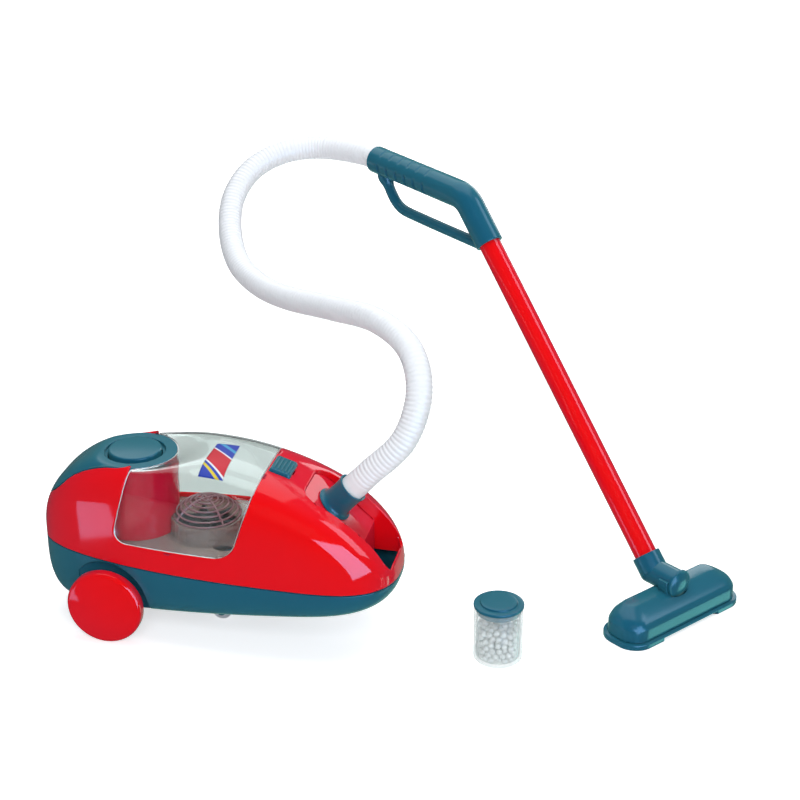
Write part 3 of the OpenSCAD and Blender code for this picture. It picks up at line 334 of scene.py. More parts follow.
def label_print():
    """Node group of the label's print: a band and two stripes across a plain field"""
    group = bpy.data.node_groups.get("label_print")
    if group:
        return group
    group = node_group("label_print", ("Field",), ("Color",))
    before = node(group, "NodeGroupInput").outputs["Field"]
    place = node(group, "ShaderNodeTexCoord").outputs["UV"]
    slant = node(group, "ShaderNodeVectorMath", {0: place, 1: (0.35, 1.0, 0)}, operation="DOT_PRODUCT")
    for low, high, color in ((0.36, 0.86, (0.8, 0.82, 0.85)), (0.40, 0.82, (0.62, 0.004, 0.02)),
                             (0.24, 0.30, (0.75, 0.6, 0.02)), (1.04, 1.12, (0.05, 0.35, 0.62))):
        stripe = node(group, "ShaderNodeMath", {0: slant.outputs["Value"], 1: (low + high) / 2, 2: (high - low) / 2},
                      operation="COMPARE")
        lay = node(group, "ShaderNodeMix", {"Factor": stripe.outputs["Value"], "A": before, "B": (*color, 1)},
                   data_type="RGBA")
        before = lay.outputs["Result"]
    node(group, "NodeGroupOutput", {"Color": before})
    return group


def label_film():
    field = settings().finishes.label
    material = plastic("label_film", field, 0.3, 0.06, 0.08, bump=0)
    tree = material.node_tree
    if not tree.nodes.get("print"):
        surface = next(made for made in tree.nodes if made.type == "GROUP")
        made = node(tree, "ShaderNodeGroup", {"Field": (*field, 1)}, node_tree=label_print(), name="print")
        tree.links.new(made.outputs["Color"], surface.inputs["Color"])
    return material


def white_plastic():
    return plastic("hose_white", settings().finishes.white, 0.34, 0.08, 0.03, bump=0.02)


def foam_plastic():
    return plastic("bead_foam", settings().finishes.foam, 0.62, 0.1, 0.08, cloud=320, grain=1800, bump=0.25)


def steel():
    return plastic("bright_steel", (0.62, 0.63, 0.65), 0.2, 0.12, 0.1, cloud=140, bump=0.02, Metallic=1.0)


def dark_plastic():
    return plastic("dark_plastic", (0.03, 0.032, 0.036), 0.42, 0.1, 0.1, bump=0.06)


SLOT_FINISH = {"teal_plastic": teal_plastic, "red_plastic": red_plastic, "clear_plastic": clear_plastic,
               "steel": steel, "dark_plastic": dark_plastic, "white_plastic": white_plastic,
               "foam": foam_plastic}
NODE_FINISH = {"chamber_floor": smoky_plastic, "chamber_bulkhead": chamber_red}


# Shaping helpers, in millimetres from the rear axle's floor point

def to_set(bm):
    """Takes a mesh from millimetres at the rear axle to the set's frame in metres"""
    bmesh.ops.scale(bm, vec=(MM, MM, MM), verts=bm.verts)
    bmesh.ops.translate(bm, vec=(AXLE[0], AXLE[1], 0), verts=bm.verts)


def set_point(point):
    return Vector((point[0] * MM + AXLE[0], point[1] * MM + AXLE[1], point[2] * MM))


def finish_piece(bm, name, body, slot, nodes=(), recalc=True, smooth_angle=40.0, matrix=None):
    """Turns a mesh drawn from the rear axle, or from the frame given, into a named piece that rides on its body"""
    if matrix:
        bmesh.ops.transform(bm, matrix=matrix, verts=bm.verts)
    to_set(bm)
    if recalc:
        bmesh.ops.recalc_face_normals(bm, faces=bm.faces)
    mesh = bpy.data.meshes.new(name)
    bm.to_mesh(mesh)
    bm.free()
    mesh.shade_smooth()
    mesh.set_sharp_from_angle(angle=math.radians(smooth_angle))
    piece = bpy.data.objects.new(name, mesh)
    bpy.context.scene.collection.objects.link(piece)
    mesh.materials.append(SLOT_FINISH[slot]())
    if body:
        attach(piece, body)
    if nodes:
        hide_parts(*nodes)
    return piece


def add_wall(piece, thickness, edge=0.0004, segments=2):
    """Gives a skin its wall, inwards, and rounds the rims"""
    wall = piece.modifiers.new("wall", "SOLIDIFY")
    wall.thickness = thickness
    wall.offset = -1
    wall.use_even_offset = False
    wall.thickness_clamp = 0
    if edge:
        rim = piece.modifiers.new("rim", "BEVEL")
        rim.width = edge
        rim.segments = segments
        rim.limit_method = "ANGLE"
        rim.angle_limit = math.radians(50)
        rim.use_clamp_overlap = False
        rim.harden_normals = True


def ease(value, low, high):
    share = min(1, max(0, (value - low) / (high - low)))
    return share * share * (3 - 2 * share)


def soft_min(a, b, blend):
    share = max(0, blend - abs(a - b)) / blend
    return min(a, b) - share * share * blend / 4


def spun(profile, matrix=Matrix(), steps=64):
    """Spins a profile of (radius, height) round the local Z axis"""
    bm = bmesh.new()
    verts = [bm.verts.new((radius, 0, height)) for radius, height in profile]
    edges = [bm.edges.new(pair) for pair in zip(verts, verts[1:])]
    bmesh.ops.spin(bm, geom=verts + edges, cent=(0, 0, 0), axis=(0, 0, 1), angle=math.tau, steps=steps,
                   use_merge=True, use_duplicate=False)
    bmesh.ops.remove_doubles(bm, verts=bm.verts, dist=0.002)
    bmesh.ops.recalc_face_normals(bm, faces=bm.faces)
    bmesh.ops.transform(bm, matrix=matrix, verts=bm.verts)
    return bm


def arc(center, radius, start, end, count):
    """Points of an arc in a profile, angles in degrees"""
    return [(center[0] + radius * math.cos(math.radians(start + (end - start) * i / count)),
             center[1] + radius * math.sin(math.radians(start + (end - start) * i / count)))
            for i in range(count + 1)]


def directions(points):
    """Direction of a line at each of its points"""
    last = len(points) - 1
    return [(points[min(i + 1, last)] - points[max(i - 1, 0)]).normalized() for i in range(last + 1)]


def run_lengths(line):
    """Length of a line up to each of its points"""
    runs = [0.0]
    for a, b in zip(line, line[1:]):
        runs.append(runs[-1] + (b - a).length)
    return runs


def stations(points, radii):
    """Frames along a line, carried without twist, that map a unit circle to each section"""
    ways, up = directions(points), Vector((0, 0, 1))
    turn = up.rotation_difference(ways[0])
    side = turn @ Vector((0, 1, 0))
    flat = up - ways[0] * up.dot(ways[0])
    if flat.length > 1e-6:
        spin = side.rotation_difference(flat.normalized())
        if abs((spin @ ways[0]).dot(ways[0])) > 0.999:
            turn = spin @ turn
    frames = []
    for i, (point, radius) in enumerate(zip(points, radii)):
        if i:
            turn = ways[i - 1].rotation_difference(ways[i]) @ turn
        frames.append(Matrix.Translation(point) @ turn.to_matrix().to_4x4()
                      @ Matrix.Diagonal((radius,) * 3).to_4x4())
    return frames


def rings_at(frame_at, old, rings):
    """Frames of (shift, radius) along and round a station whose circle has the old radius"""
    return [frame_at @ Matrix.Translation((0, 0, shift / old)) @ Matrix.Diagonal((radius / old,) * 3).to_4x4()
            for shift, radius in rings]


def grow(bm, edges):
    """Extrudes edges and gives the new points and the new edges"""
    grown = bmesh.ops.extrude_edge_only(bm, edges=edges)["geom"]
    return tuple([item for item in grown if isinstance(item, kind)]
                 for kind in (bmesh.types.BMVert, bmesh.types.BMEdge))


def swept(frames, sides, cap_start=True, cap_end=True):
    """Extrudes a circle through the frames, one section after another"""
    bm = bmesh.new()
    ring = bmesh.ops.create_circle(bm, cap_ends=False, segments=sides, radius=1)["verts"]
    edges = list(bm.edges)
    bmesh.ops.transform(bm, matrix=frames[0], verts=ring)
    if cap_start:
        bmesh.ops.contextual_create(bm, geom=edges)
    before = frames[0]
    for after in frames[1:]:
        verts, edges = grow(bm, edges)
        bmesh.ops.transform(bm, matrix=after @ before.inverted(), verts=verts)
        before = after
    if cap_end:
        bmesh.ops.contextual_create(bm, geom=edges)
    bmesh.ops.recalc_face_normals(bm, faces=bm.faces)
    return bm


def stacked(rings, outline, sides, cap_start=True, cap_end=True):
    """Extrudes a loop through rings; outline(angle, ring) gives a point of a ring"""
    bm = bmesh.new()
    turn = bm.verts.layers.float.new("turn")
    loop = bmesh.ops.create_circle(bm, cap_ends=False, segments=sides, radius=1)["verts"]
    for vert in loop:
        vert[turn] = math.atan2(vert.co.y, vert.co.x)
        vert.co = outline(vert[turn], rings[0])
    edges = list(bm.edges)
    if cap_start:
        bmesh.ops.contextual_create(bm, geom=edges)
    for ring in rings[1:]:
        verts, edges = grow(bm, edges)
        for vert in verts:
            vert.co = outline(vert[turn], ring)
    if cap_end:
        bmesh.ops.contextual_create(bm, geom=edges)
    bmesh.ops.recalc_face_normals(bm, faces=bm.faces)
    return bm


def trim(bm, surface, keep):
    """Cuts a mesh along keep = 0 and drops the side where keep is negative"""
    reach = {vert: keep(surface(vert.co)) for vert in bm.verts}
    crossing = [edge for edge in bm.edges if reach[edge.verts[0]] * reach[edge.verts[1]] < 0]
    split = []
    for edge in crossing:
        a, b = edge.verts
        if reach[a] * reach[b] >= 0:
            continue
        low, high, share = 0.0, 1.0, 0.5
        for _ in range(7):
            share = (low + high) / 2
            if keep(surface(a.co.lerp(b.co, share))) * reach[a] > 0:
                low = share
            else:
                high = share
        if share < 0.25 or share > 0.75:
            moved = a if share < 0.25 else b
            moved.co = a.co.lerp(b.co, share)
            reach[moved] = 0.0
        else:
            split.append((edge, a, share))
    for edge, a, share in split:
        b = edge.other_vert(a)
        if reach[a] * reach[b] < 0:
            vert = bmesh.utils.edge_split(edge, a, share)[1]
            reach[vert] = 0.0
    bmesh.ops.connect_verts(bm, verts=[vert for vert in bm.verts if reach[vert] == 0.0])
    out = [face for face in bm.faces if sum(reach[vert] for vert in face.verts) < 0]
    bmesh.ops.delete(bm, geom=out, context="FACES")


def rim_edges(bm, test=lambda p: True):
    """Open edges whose two ends pass the test"""
    return [edge for edge in bm.edges if edge.is_boundary and all(test(vert.co) for vert in edge.verts)]


def extrude_rim(bm, edges, move):
    """Extrudes open edges and moves each new point by the given rule"""
    verts, edges = grow(bm, edges)
    for vert in verts:
        vert.co = move(vert.co)
    return edges


class BodyForm:
    """The canister's outer form: rounded sections along its length, in mm from the rear axle"""

    def __init__(self):
        sizes = settings().canister
        self.length = in_mm(sizes.length)
        self.half = in_mm(sizes.width) / 2
        self.crown = in_mm(sizes.crown)
        self.seam_z = in_mm(sizes.seam)
        self.fall = in_mm(sizes.seam_fall)
        self.keel_z = in_mm(sizes.keel)
        self.rise = in_mm(sizes.keel_rise)
        self.tail = -in_mm(sizes.axle_inset)
        self.nose = self.tail + self.length

    def along(self, share):
        return self.tail + share * self.length

    def taper(self, x, peaks, powers, inset):
        if x < peaks[0]:
            u, p, e = (peaks[0] - x) / (peaks[0] - self.tail - inset), powers[0], powers[1]
        elif x <= peaks[1]:
            return 1.0
        else:
            u, p, e = (x - peaks[1]) / (self.nose - inset - peaks[1]), powers[2], powers[3]
        return max(0.0, 1 - max(0.0, u) ** p) ** e

    def seam(self, x):
        return self.seam_z - self.fall * x / self.length

    def keel(self, x):
        return self.keel_z + self.rise * x / self.length

    def half_width(self, x, inset=0.0):
        peak = self.along(0.637)
        return (self.half - inset) * self.taper(x, (peak, peak), (2, 0.42, 4, 0.4), inset)

    def crown_at(self, x, inset=0.0):
        peak = self.along(0.435)
        return (self.crown - inset) * self.taper(x, (peak, peak), (3, 0.48, 2, 0.62), inset)

    def keel_depth(self, x, inset=0.0):
        depth = self.seam(x) - self.keel(x) - inset
        return depth * self.taper(x, (self.along(0.42), self.along(0.637)), (10, 0.5, 5, 0.5), inset)

    def crest(self, x):
        return self.seam(x) + self.crown_at(x)

    def roof(self, x, y, inset=0.0):
        """Height of the form's top over a spot"""
        share = min(1.0, abs(y) / max(1e-6, self.half_width(x, inset)))
        return self.seam(x) + self.crown_at(x, inset) * (1 - share ** 4) ** 0.25

    def point(self, x, turn, inset=0.0):
        """Point of the section at x, turned from the far side over the top"""
        c, s = math.cos(turn), math.sin(turn)
        power = 4.0 if s >= 0 else 6.0 - 3.6 * (x - self.tail) / self.length
        reach = (abs(c) ** power + abs(s) ** power) ** (-1 / power)
        height = self.crown_at(x, inset) if s >= 0 else self.keel_depth(x, inset)
        return Vector((x, self.half_width(x, inset) * c * reach, self.seam(x) + height * s * reach))

    def surface(self, first, last, lift=0.0, inset=0.0):
        """Maps a unit grid to the form between two turns, lifted from the seam"""
        def place(spot):
            share = min(1.0, max(0.0, spot[0] + 0.5))
            x = self.tail + inset + (self.length - 2 * inset) * (1 - math.cos(math.pi * share)) / 2
            turn = last + (first - last) * min(1.0, max(0.0, spot[1] + 0.5))
            point = self.point(x, turn, inset)
            point.z += lift
            return point
        return place


def skin(surface, cells, keeps):
    """A sheet on a surface, cut to its outlines"""
    bm = bmesh.new()
    bmesh.ops.create_grid(bm, x_segments=cells[0], y_segments=cells[1], size=0.5)
    for keep in keeps:
        trim(bm, surface, keep)
    for vert in bm.verts:
        vert.co = surface(vert.co)
    bmesh.ops.remove_doubles(bm, verts=bm.verts, dist=0.02)
    bmesh.ops.dissolve_degenerate(bm, edges=bm.edges, dist=0.01)
    return bm


# Outlines of the canister's openings: positive inside

PANEL_X, PANEL_R = 13.5, 36.0
PANEL_TAIL_X, PANEL_TAIL_R = -36.5, 27.5
PANEL_Z, WELL_GAP = 153.6, 3.2
BUTTON_Z = PANEL_Z + 2.3
FAN_X = 75
LID_SLOPE, LID_BLEND = 0.34, 6.0
JAR_SPOT = (329, -14, 0)
WINDOW_Z, WINDOW_X, WINDOW_FRONT_X = 90.0, 5.0, 112.0
WINDOW_CORNER = 14.0
REAR_LEAN, FRONT_LEAN = math.radians(14.5), math.radians(18)
POCKET_SPOTS = ((180, 14, 14), (180, -14, 14), (232, 20, 8), (232, -20, 8))
POCKET_HULL = [(math.cos(a), math.sin(a), max(x * math.cos(a) + y * math.sin(a) + r for x, y, r in POCKET_SPOTS))
               for a in (math.tau * i / 120 for i in range(120))]
POCKET_EDGE = (166.0, 138.3)
POCKET_SLOPE = math.radians(43)
POCKET_HOLE_X = 214.0
CONNECTOR_FOOT = Vector((185.747, 0, 119.9))
CONNECTOR_WAY = Vector((math.sin(POCKET_SLOPE), 0, math.cos(POCKET_SLOPE)))


def rounded_corner(a, b, radius):
    return min(min(a, b), radius - math.hypot(max(0, radius - a), max(0, radius - b)))


def inside_window(p):
    rear = (p[0] - WINDOW_X - (p[2] - WINDOW_Z) * math.tan(REAR_LEAN)) * math.cos(REAR_LEAN)
    front = (WINDOW_FRONT_X + (p[2] - WINDOW_Z) * math.tan(FRONT_LEAN) - p[0]) * math.cos(FRONT_LEAN)
    base = p[2] - WINDOW_Z
    return min(rounded_corner(rear, base, WINDOW_CORNER), rounded_corner(front, base, WINDOW_CORNER))


def inside_panel(p):
    """Depth inside the outline round the panel's two circles"""
    x, y = PANEL_X - p[0], abs(p[1])
    long = PANEL_X - PANEL_TAIL_X
    lean = (PANEL_R - PANEL_TAIL_R) / long
    rise = math.sqrt(1 - lean * lean)
    spot = x * rise - y * lean
    if spot < 0:
        return PANEL_R - math.hypot(x, y)
    if spot > long * rise:
        return PANEL_TAIL_R - math.hypot(x - long, y)
    return PANEL_R - (x * lean + y * rise)


def lid_top(p):
    """Height of the lid's skin, which comes down to the panel round its edge"""
    off = max(0.0, -inside_circle(p, PANEL_X, 0, PANEL_R + 0.4))
    return soft_min(p[2], PANEL_Z + 0.2 + LID_SLOPE * off, LID_BLEND)


def inside_pocket(p):
    return min(h - p[0] * c - p[1] * s for c, s, h in POCKET_HULL)


def inside_circle(p, x, y, radius):
    return radius - math.hypot(p[0] - x, p[1] - y)


def inside_box(p, center, half, corner):
    dx, dy = half[0] - abs(p[0] - center[0]), half[1] - abs(p[1] - center[1])
    return rounded_corner(dx, dy, corner)


def pocket_floor_z(x):
    return POCKET_EDGE[1] - (x - POCKET_EDGE[0]) * math.tan(POCKET_SLOPE)


# Operators

class PieceOperator:
    """Shared options of the operators"""
    bl_options = {"REGISTER", "UNDO"}


class TOYVAC_OT_camera(PieceOperator, bpy.types.Operator):
    """Camera at the photograph's viewing angle"""
    bl_idname = "toyvac.camera"
    bl_label = "Camera"

    def execute(self, context):
        studio = settings().studio
        data = bpy.data.cameras.new("studio_camera")
        data.lens = studio.lens
        data.sensor_width = 36
        camera = bpy.data.objects.new("studio_camera", data)
        camera.location = Vector(studio.camera_place) + Vector((AXLE[0], AXLE[1], 0))
        camera.rotation_euler = studio.camera_turn
        context.scene.collection.objects.link(camera)
        context.scene.camera = camera
        return {"FINISHED"}


HEAD_SPOT = Vector((473, 75, 0))
NECK_RIM = Vector((0, 41, 48))
BARREL_Z, BARREL_R, SLEEVE_R = 36.0, 11.5, 12.6
GRIP_LEAN = math.radians(3)
SOCKET_LENGTH, BEND_R = 49.0, 26.0
HOSE_START = Vector((197.545, 0, 132.552))
HOSE_LEAD = 28.0
HOSE_SEAT = 7.7
HOSE_ROUTE = ((245, 4, 184), (254, 20, 220), (240, 48, 246), (204, 85, 254), (156, 125, 246), (104, 165, 237),
              (68, 196, 236), (38, 231, 243), (20, 266, 262), (15, 298, 285), (26, 328, 305), (52, 350, 317),
              (88, 360, 321))


def wand_frame():
    """Frame of the wand: X along the floor head, Y backwards, origin on the floor under the joint"""
    turn = settings().wand.turn
    return Matrix.Translation(HEAD_SPOT) @ Matrix.Rotation(turn, 4, "Z")


def wand_line():
    """In the wand's own frame: directions of tube and grip, then socket rim, corner and grip end"""
    sizes = settings().wand
    lean = sizes.lean
    way = Vector((0, math.cos(lean), math.sin(lean)))
    grip = Vector((0, math.cos(GRIP_LEAN), math.sin(GRIP_LEAN)))
    socket = NECK_RIM + way * in_mm(sizes.tube_length)
    corner = socket + way * SOCKET_LENGTH
    end = corner + grip * in_mm(sizes.grip_length)
    return way, grip, socket, corner, end


def hose_line():
    """Points along the hose's middle, from its seat in the connector to its seat in the grip"""
    _, grip, _, _, end = wand_line()
    to_axle = wand_frame()
    out = (to_axle.to_3x3() @ grip).normalized()
    last = to_axle @ (end - grip * HOSE_SEAT)
    marks = [HOSE_START, HOSE_START + CONNECTOR_WAY * HOSE_LEAD]
    marks += [Vector(p) for p in HOSE_ROUTE] + [last + out * HOSE_LEAD, last]
    slopes = [CONNECTOR_WAY * HOSE_LEAD]
    slopes += [(after - before) / 2 for before, after in zip(marks, marks[2:])]
    slopes.append(-out * HOSE_LEAD)
    return hermite_line(marks, slopes, 40)


def hermite_line(marks, slopes, steps):
    """Points of a smooth line through marks with a given slope at each"""
    fine = []
    for a, b, rise_a, rise_b in zip(marks, marks[1:], slopes, slopes[1:]):
        for step in range(steps):
            t = step / steps
            fine.append(a * (2 * t ** 3 - 3 * t * t + 1) + rise_a * (t ** 3 - 2 * t * t + t)
                        + b * (3 * t * t - 2 * t ** 3) + rise_b * (t ** 3 - t * t))
    return fine + [marks[-1]]


def even_points(line, pitch):
    """Points a fixed distance apart along a line"""
    lengths = run_lengths(line)
    count = max(2, round(lengths[-1] / pitch))
    points, k = [], 0
    for i in range(count + 1):
        goal = lengths[-1] * i / count
        while k < len(line) - 2 and lengths[k + 1] < goal:
            k += 1
        span = lengths[k + 1] - lengths[k]
        points.append(line[k].lerp(line[k + 1], (goal - lengths[k]) / span if span else 0))
    return points, lengths[-1]


class TOYVAC_OT_hose(PieceOperator, bpy.types.Operator):
    """Ribbed white hose from the connector in the nose to the end of the grip"""
    bl_idname = "toyvac.hose"
    bl_label = "Hose"

    def execute(self, context):
        sizes = settings().hose
        line = hose_line()
        pitch = in_mm(sizes.rib_pitch)
        points, length = even_points(line, pitch / 5)
        radius, depth = in_mm(sizes.diameter) / 2, in_mm(sizes.rib_depth)
        smooth_end = 15.0
        radii = []
        for i in range(len(points)):
            run = length * i / (len(points) - 1)
            ribs = ease(run, smooth_end, smooth_end + 2 * pitch)
            wave = 0.5 - 0.5 * math.cos(math.tau * i / 5)
            radii.append(radius - depth * (0.35 + 0.65 * ribs * (1 - wave ** 0.6)))
        bm = swept(stations(points, radii), 24)
        hose = finish_piece(bm, "hose_tube", None, "white_plastic", ("hose",), smooth_angle=180)
        start, end = set_point(points[0]), set_point(points[-1])
        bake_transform(hose)
        path = [tuple(set_point(p)) for p in even_points(line, length / 60)[0]]
        return {"FINISHED"}


class TOYVAC_OT_shells(PieceOperator, bpy.types.Operator):
    """Upper and lower shell, with the grip pocket, the wheel arches and the battery door"""
    bl_idname = "toyvac.shells"
    bl_label = "Shells"

    def execute(self, context):
        form = BodyForm()
        wall = settings().canister.wall
        self.upper(form, wall)
        self.pocket_floor(form, wall)
        self.lower(form, wall)
        return {"FINISHED"}

    def upper(self, form, wall):
        turned = form_latch(form).inverted()
        slot = (2.5, 0), (7.5, 5.5), 1

        def outside_slot(p):
            return -inside_box(turned @ Vector(p), *slot)

        keeps = (lambda p: -inside_window(p), lambda p: -inside_panel(p), lambda p: -inside_pocket(p), outside_slot)
        bm = skin(form.surface(0, math.pi, 0.3), (190, 104), keeps)
        rim = rim_edges(bm, lambda p: abs(inside_pocket(p)) < 0.08)

        def down(p):
            low = form.seam(p.x) + 1.0
            if p.x < POCKET_HOLE_X:
                low = max(low, pocket_floor_z(p.x))
            return Vector((p.x, p.y, min(p.z - 0.4, low)))

        extrude_rim(bm, rim, down)
        piece = finish_piece(bm, "red_shell", "canister", "red_plastic", ("upper_shell",), recalc=False)
        add_wall(piece, wall, 0.0009, 3)

    def pocket_floor(self, form, wall):
        start, long, wide, bore_r = 164.0, 52.0, 80.0, 10.7
        bm = bmesh.new()
        bmesh.ops.create_grid(bm, x_segments=40, y_segments=60, size=0.5)

        def lay(spot):
            x = start + long * (spot[0] + 0.5)
            return Vector((x, wide * spot[1], pocket_floor_z(x)))

        for keep in (lambda p: inside_pocket(p) + 0.6, lambda p: POCKET_HOLE_X - p[0],
                     lambda p: (Vector(p) - CONNECTOR_FOOT).length - bore_r):
            trim(bm, lay, keep)
        for vert in bm.verts:
            vert.co = lay(vert.co)
        end = rim_edges(bm, lambda p: abs(p.x - POCKET_HOLE_X) < 0.1)
        extrude_rim(bm, end, lambda p: Vector((p.x, p.y, form.seam(p.x) + 1.0)))
        piece = finish_piece(bm, "pocket_floor", "canister", "red_plastic", recalc=False)
        add_wall(piece, wall, 0.0005)

    def lower(self, form, wall):
        wheel_z = in_mm(settings().canister.wheel_radius)
        arch_r, arch_y = wheel_z + 3, 39.0
        door, door_z, post_z = ((40, 0), (30.8, 25.7), 4), 50, 55
        posts = [(form.along(a), side * b * 119.0, 3.5) for a, b in ((0.085, 0.15), (0.7, 0.3)) for side in (-1, 1)]
        castor_hole = (92.0, 0.0, 5.3)

        def outside_arch(p):
            return max(math.hypot(p[0], p[2] - wheel_z) - arch_r, arch_y - abs(p[1]))

        def inside_door(p):
            return inside_box(p, *door) if p[2] < door_z else -1.0

        def open_spots(p):
            if p[2] > post_z:
                return 1.0
            return -max(inside_circle(p, *spot) for spot in posts + [castor_hole])

        base = form.surface(math.pi, math.tau, -0.3)
        bm = skin(base, (190, 110), (outside_arch, lambda p: -inside_door(p), open_spots))
        for side in (-1, 1):
            rim = rim_edges(bm, lambda p: p.y * side > arch_y - 1 and abs(outside_arch(p)) < 0.1)
            inner = extrude_rim(bm, rim, lambda p: Vector((p.x, side * arch_y, p.z)))
            bmesh.ops.holes_fill(bm, edges=inner, sides=0)
        piece = finish_piece(bm, "teal_shell", "canister", "teal_plastic", ("lower_shell",), recalc=False)
        add_wall(piece, wall, 0.0006)
        bm = skin(base, (190, 110), (lambda p: inside_door(p) - 0.4,))
        piece = finish_piece(bm, "cell_door", "canister", "teal_plastic", ("battery_door",), recalc=False)
        add_wall(piece, wall, 0.0004)


def form_latch(form):
    """Frame on the crest at the latch, with X down the slope of the nose"""
    x, half = 143.03, 9.5
    slope = math.atan((form.crest(x - half) - form.crest(x + half)) / (2 * half))
    return (Matrix.Translation((x, 0, form.crest(x))) @ Matrix.Rotation(slope, 4, "Y")
            @ Matrix.Translation((0, 0, 0.5)))


class TOYVAC_OT_panel(PieceOperator, bpy.types.Operator):
    """Rear panel with its well, and the round power button"""
    bl_idname = "toyvac.panel"
    bl_label = "Rear panel and button"

    def execute(self, context):
        form = BodyForm()
        sizes = settings().canister
        radius = in_mm(sizes.button_radius)
        well, foot, shelf, skirt = radius + WELL_GAP, radius + 0.5, 3, 12
        keeps = (lambda p: inside_panel(p) - 0.3, lambda p: -inside_circle(p, PANEL_X, 0, well))
        bm = skin(form.surface(0, math.pi, 0.3), (220, 130), keeps)
        for vert in bm.verts:
            vert.co.z = soft_min(vert.co.z, PANEL_Z, 2.0)
        rim = rim_edges(bm, lambda p: abs(inside_circle(p, PANEL_X, 0, well)) < 0.08)
        rim = extrude_rim(bm, rim, lambda p: Vector((p.x, p.y, PANEL_Z - shelf)))
        rim = extrude_rim(bm, rim, lambda p: Vector((PANEL_X + (p.x - PANEL_X) * foot / well, p.y * foot / well, p.z)))
        extrude_rim(bm, rim, lambda p: Vector((p.x, p.y, PANEL_Z - skirt)))
        piece = finish_piece(bm, "rear_cover", "canister", "teal_plastic", ("rear_panel",), recalc=False)
        add_wall(piece, sizes.wall, 0.0007, 3)
        edge, top = 1.6, radius - 1.6
        profile = [(0, -11), (4, -11), (4, -3), (radius - 2.4, -3), (radius - 2.4, -10), (radius, -10)]
        profile += arc((top, -edge), edge, 0, 90, 6)
        profile += [(top * i / 8, 0.6 * (1 - (i / 8) ** 2)) for i in range(7, -1, -1)]
        bm = spun(profile, Matrix.Translation((PANEL_X, 0, BUTTON_Z)), 96)
        finish_piece(bm, "round_button", "button", "teal_plastic", ("power_button",))
        return {"FINISHED"}


class TOYVAC_OT_lid(PieceOperator, bpy.types.Operator):
    """Clear lid of the dust chamber, its label and the ribbed latch"""
    bl_idname = "toyvac.lid"
    bl_label = "Lid and latch"

    def execute(self, context):
        form = BodyForm()
        surface = form.surface(0, math.pi, 0.3)
        keeps = (lambda p: inside_window(p) - 0.4, lambda p: -inside_circle(p, PANEL_X, 0, PANEL_R + 0.4))
        bm = skin(surface, (200, 120), keeps)
        for vert in bm.verts:
            vert.co.z = lid_top(vert.co)
        piece = finish_piece(bm, "clear_lid", "lid", "clear_plastic", ("window_lid",), recalc=False)
        add_wall(piece, settings().canister.clear_wall, 0.0006, 3)
        piece.data.materials.append(clear_edge())
        piece.modifiers["wall"].material_offset_rim = 1
        self.label(form)
        self.latch(form)
        return {"FINISHED"}

    def label(self, form):
        corners = ((83.25, 80.69), (102.0, 77.11), (103.5, 126.53), (82.5, 127.24))
        bm = bmesh.new()
        bm.loops.layers.uv.new("print")
        bmesh.ops.create_grid(bm, x_segments=16, y_segments=40, size=0.5, calc_uvs=True)
        for vert in bm.verts:
            u, v = vert.co.x + 0.5, vert.co.y + 0.5
            x, turn = ((a * (1 - u) + b * u) * v + (d * (1 - u) + c * u) * (1 - v) for a, b, c, d in zip(*corners))
            vert.co = form.point(x, math.radians(turn)) + Vector((0, 0, 0.3))
            vert.co.z = lid_top(vert.co) + 0.2
        piece = finish_piece(bm, "lid_label", "lid", "white_plastic", recalc=False)
        piece.data.materials[0] = label_film()
        add_wall(piece, 0.00012, 0)

    def latch(self, form):
        long, wide, thick, corner_r, edge_r = 19.0, 27.0, 2.6, 3.0, 1.6
        ridges, ridge, pitch = 5, 1.1, long * 0.17
        bm = bmesh.new()
        bmesh.ops.create_grid(bm, x_segments=76, y_segments=54, size=0.5)
        for vert in bm.verts:
            x, y = vert.co.x * long, vert.co.y * wide
            side = rounded_corner(long / 2 - abs(x), wide / 2 - abs(y), corner_r)
            height = thick * math.sqrt(max(0, 1 - (1 - min(1, max(0, side) / edge_r)) ** 2.0))
            crest = 0.0
            for i in range(ridges):
                off = (x - pitch * (i - (ridges - 1) / 2)) / ridge
                if abs(off) < 1:
                    crest = max(crest, ridge * math.sqrt(1 - off * off))
            fade = ease(wide / 2 - 2.0 - abs(y), 0, 1.4)
            vert.co = Vector((x, y, height + crest * fade))
        rim = rim_edges(bm)
        inner = extrude_rim(bm, rim, lambda p: Vector((p.x, p.y, -0.2)))
        bmesh.ops.holes_fill(bm, edges=inner, sides=0)
        stem = Matrix.Translation((0, 0, -3.6)) @ Matrix.Diagonal((8, 9, 7.6, 1))
        arm = (Matrix.Translation((-6, 0, -10.5)) @ Matrix.Rotation(math.radians(-36.87), 4, "Y")
               @ Matrix.Diagonal((19, 9, 4, 1)))
        for block, round_r, segments in ((stem, 0.5, 2), (arm, 1.2, 3)):
            verts = bmesh.ops.create_cube(bm, size=1, matrix=block)["verts"]
            edges = {edge for vert in verts for edge in vert.link_edges}
            bmesh.ops.bevel(bm, geom=list(edges), offset=round_r, offset_type="OFFSET", segments=segments, profile=0.5,
                            affect="EDGES", material=-1)
        finish_piece(bm, "ribbed_latch", "latch", "teal_plastic", ("lid_latch",), matrix=form_latch(form))


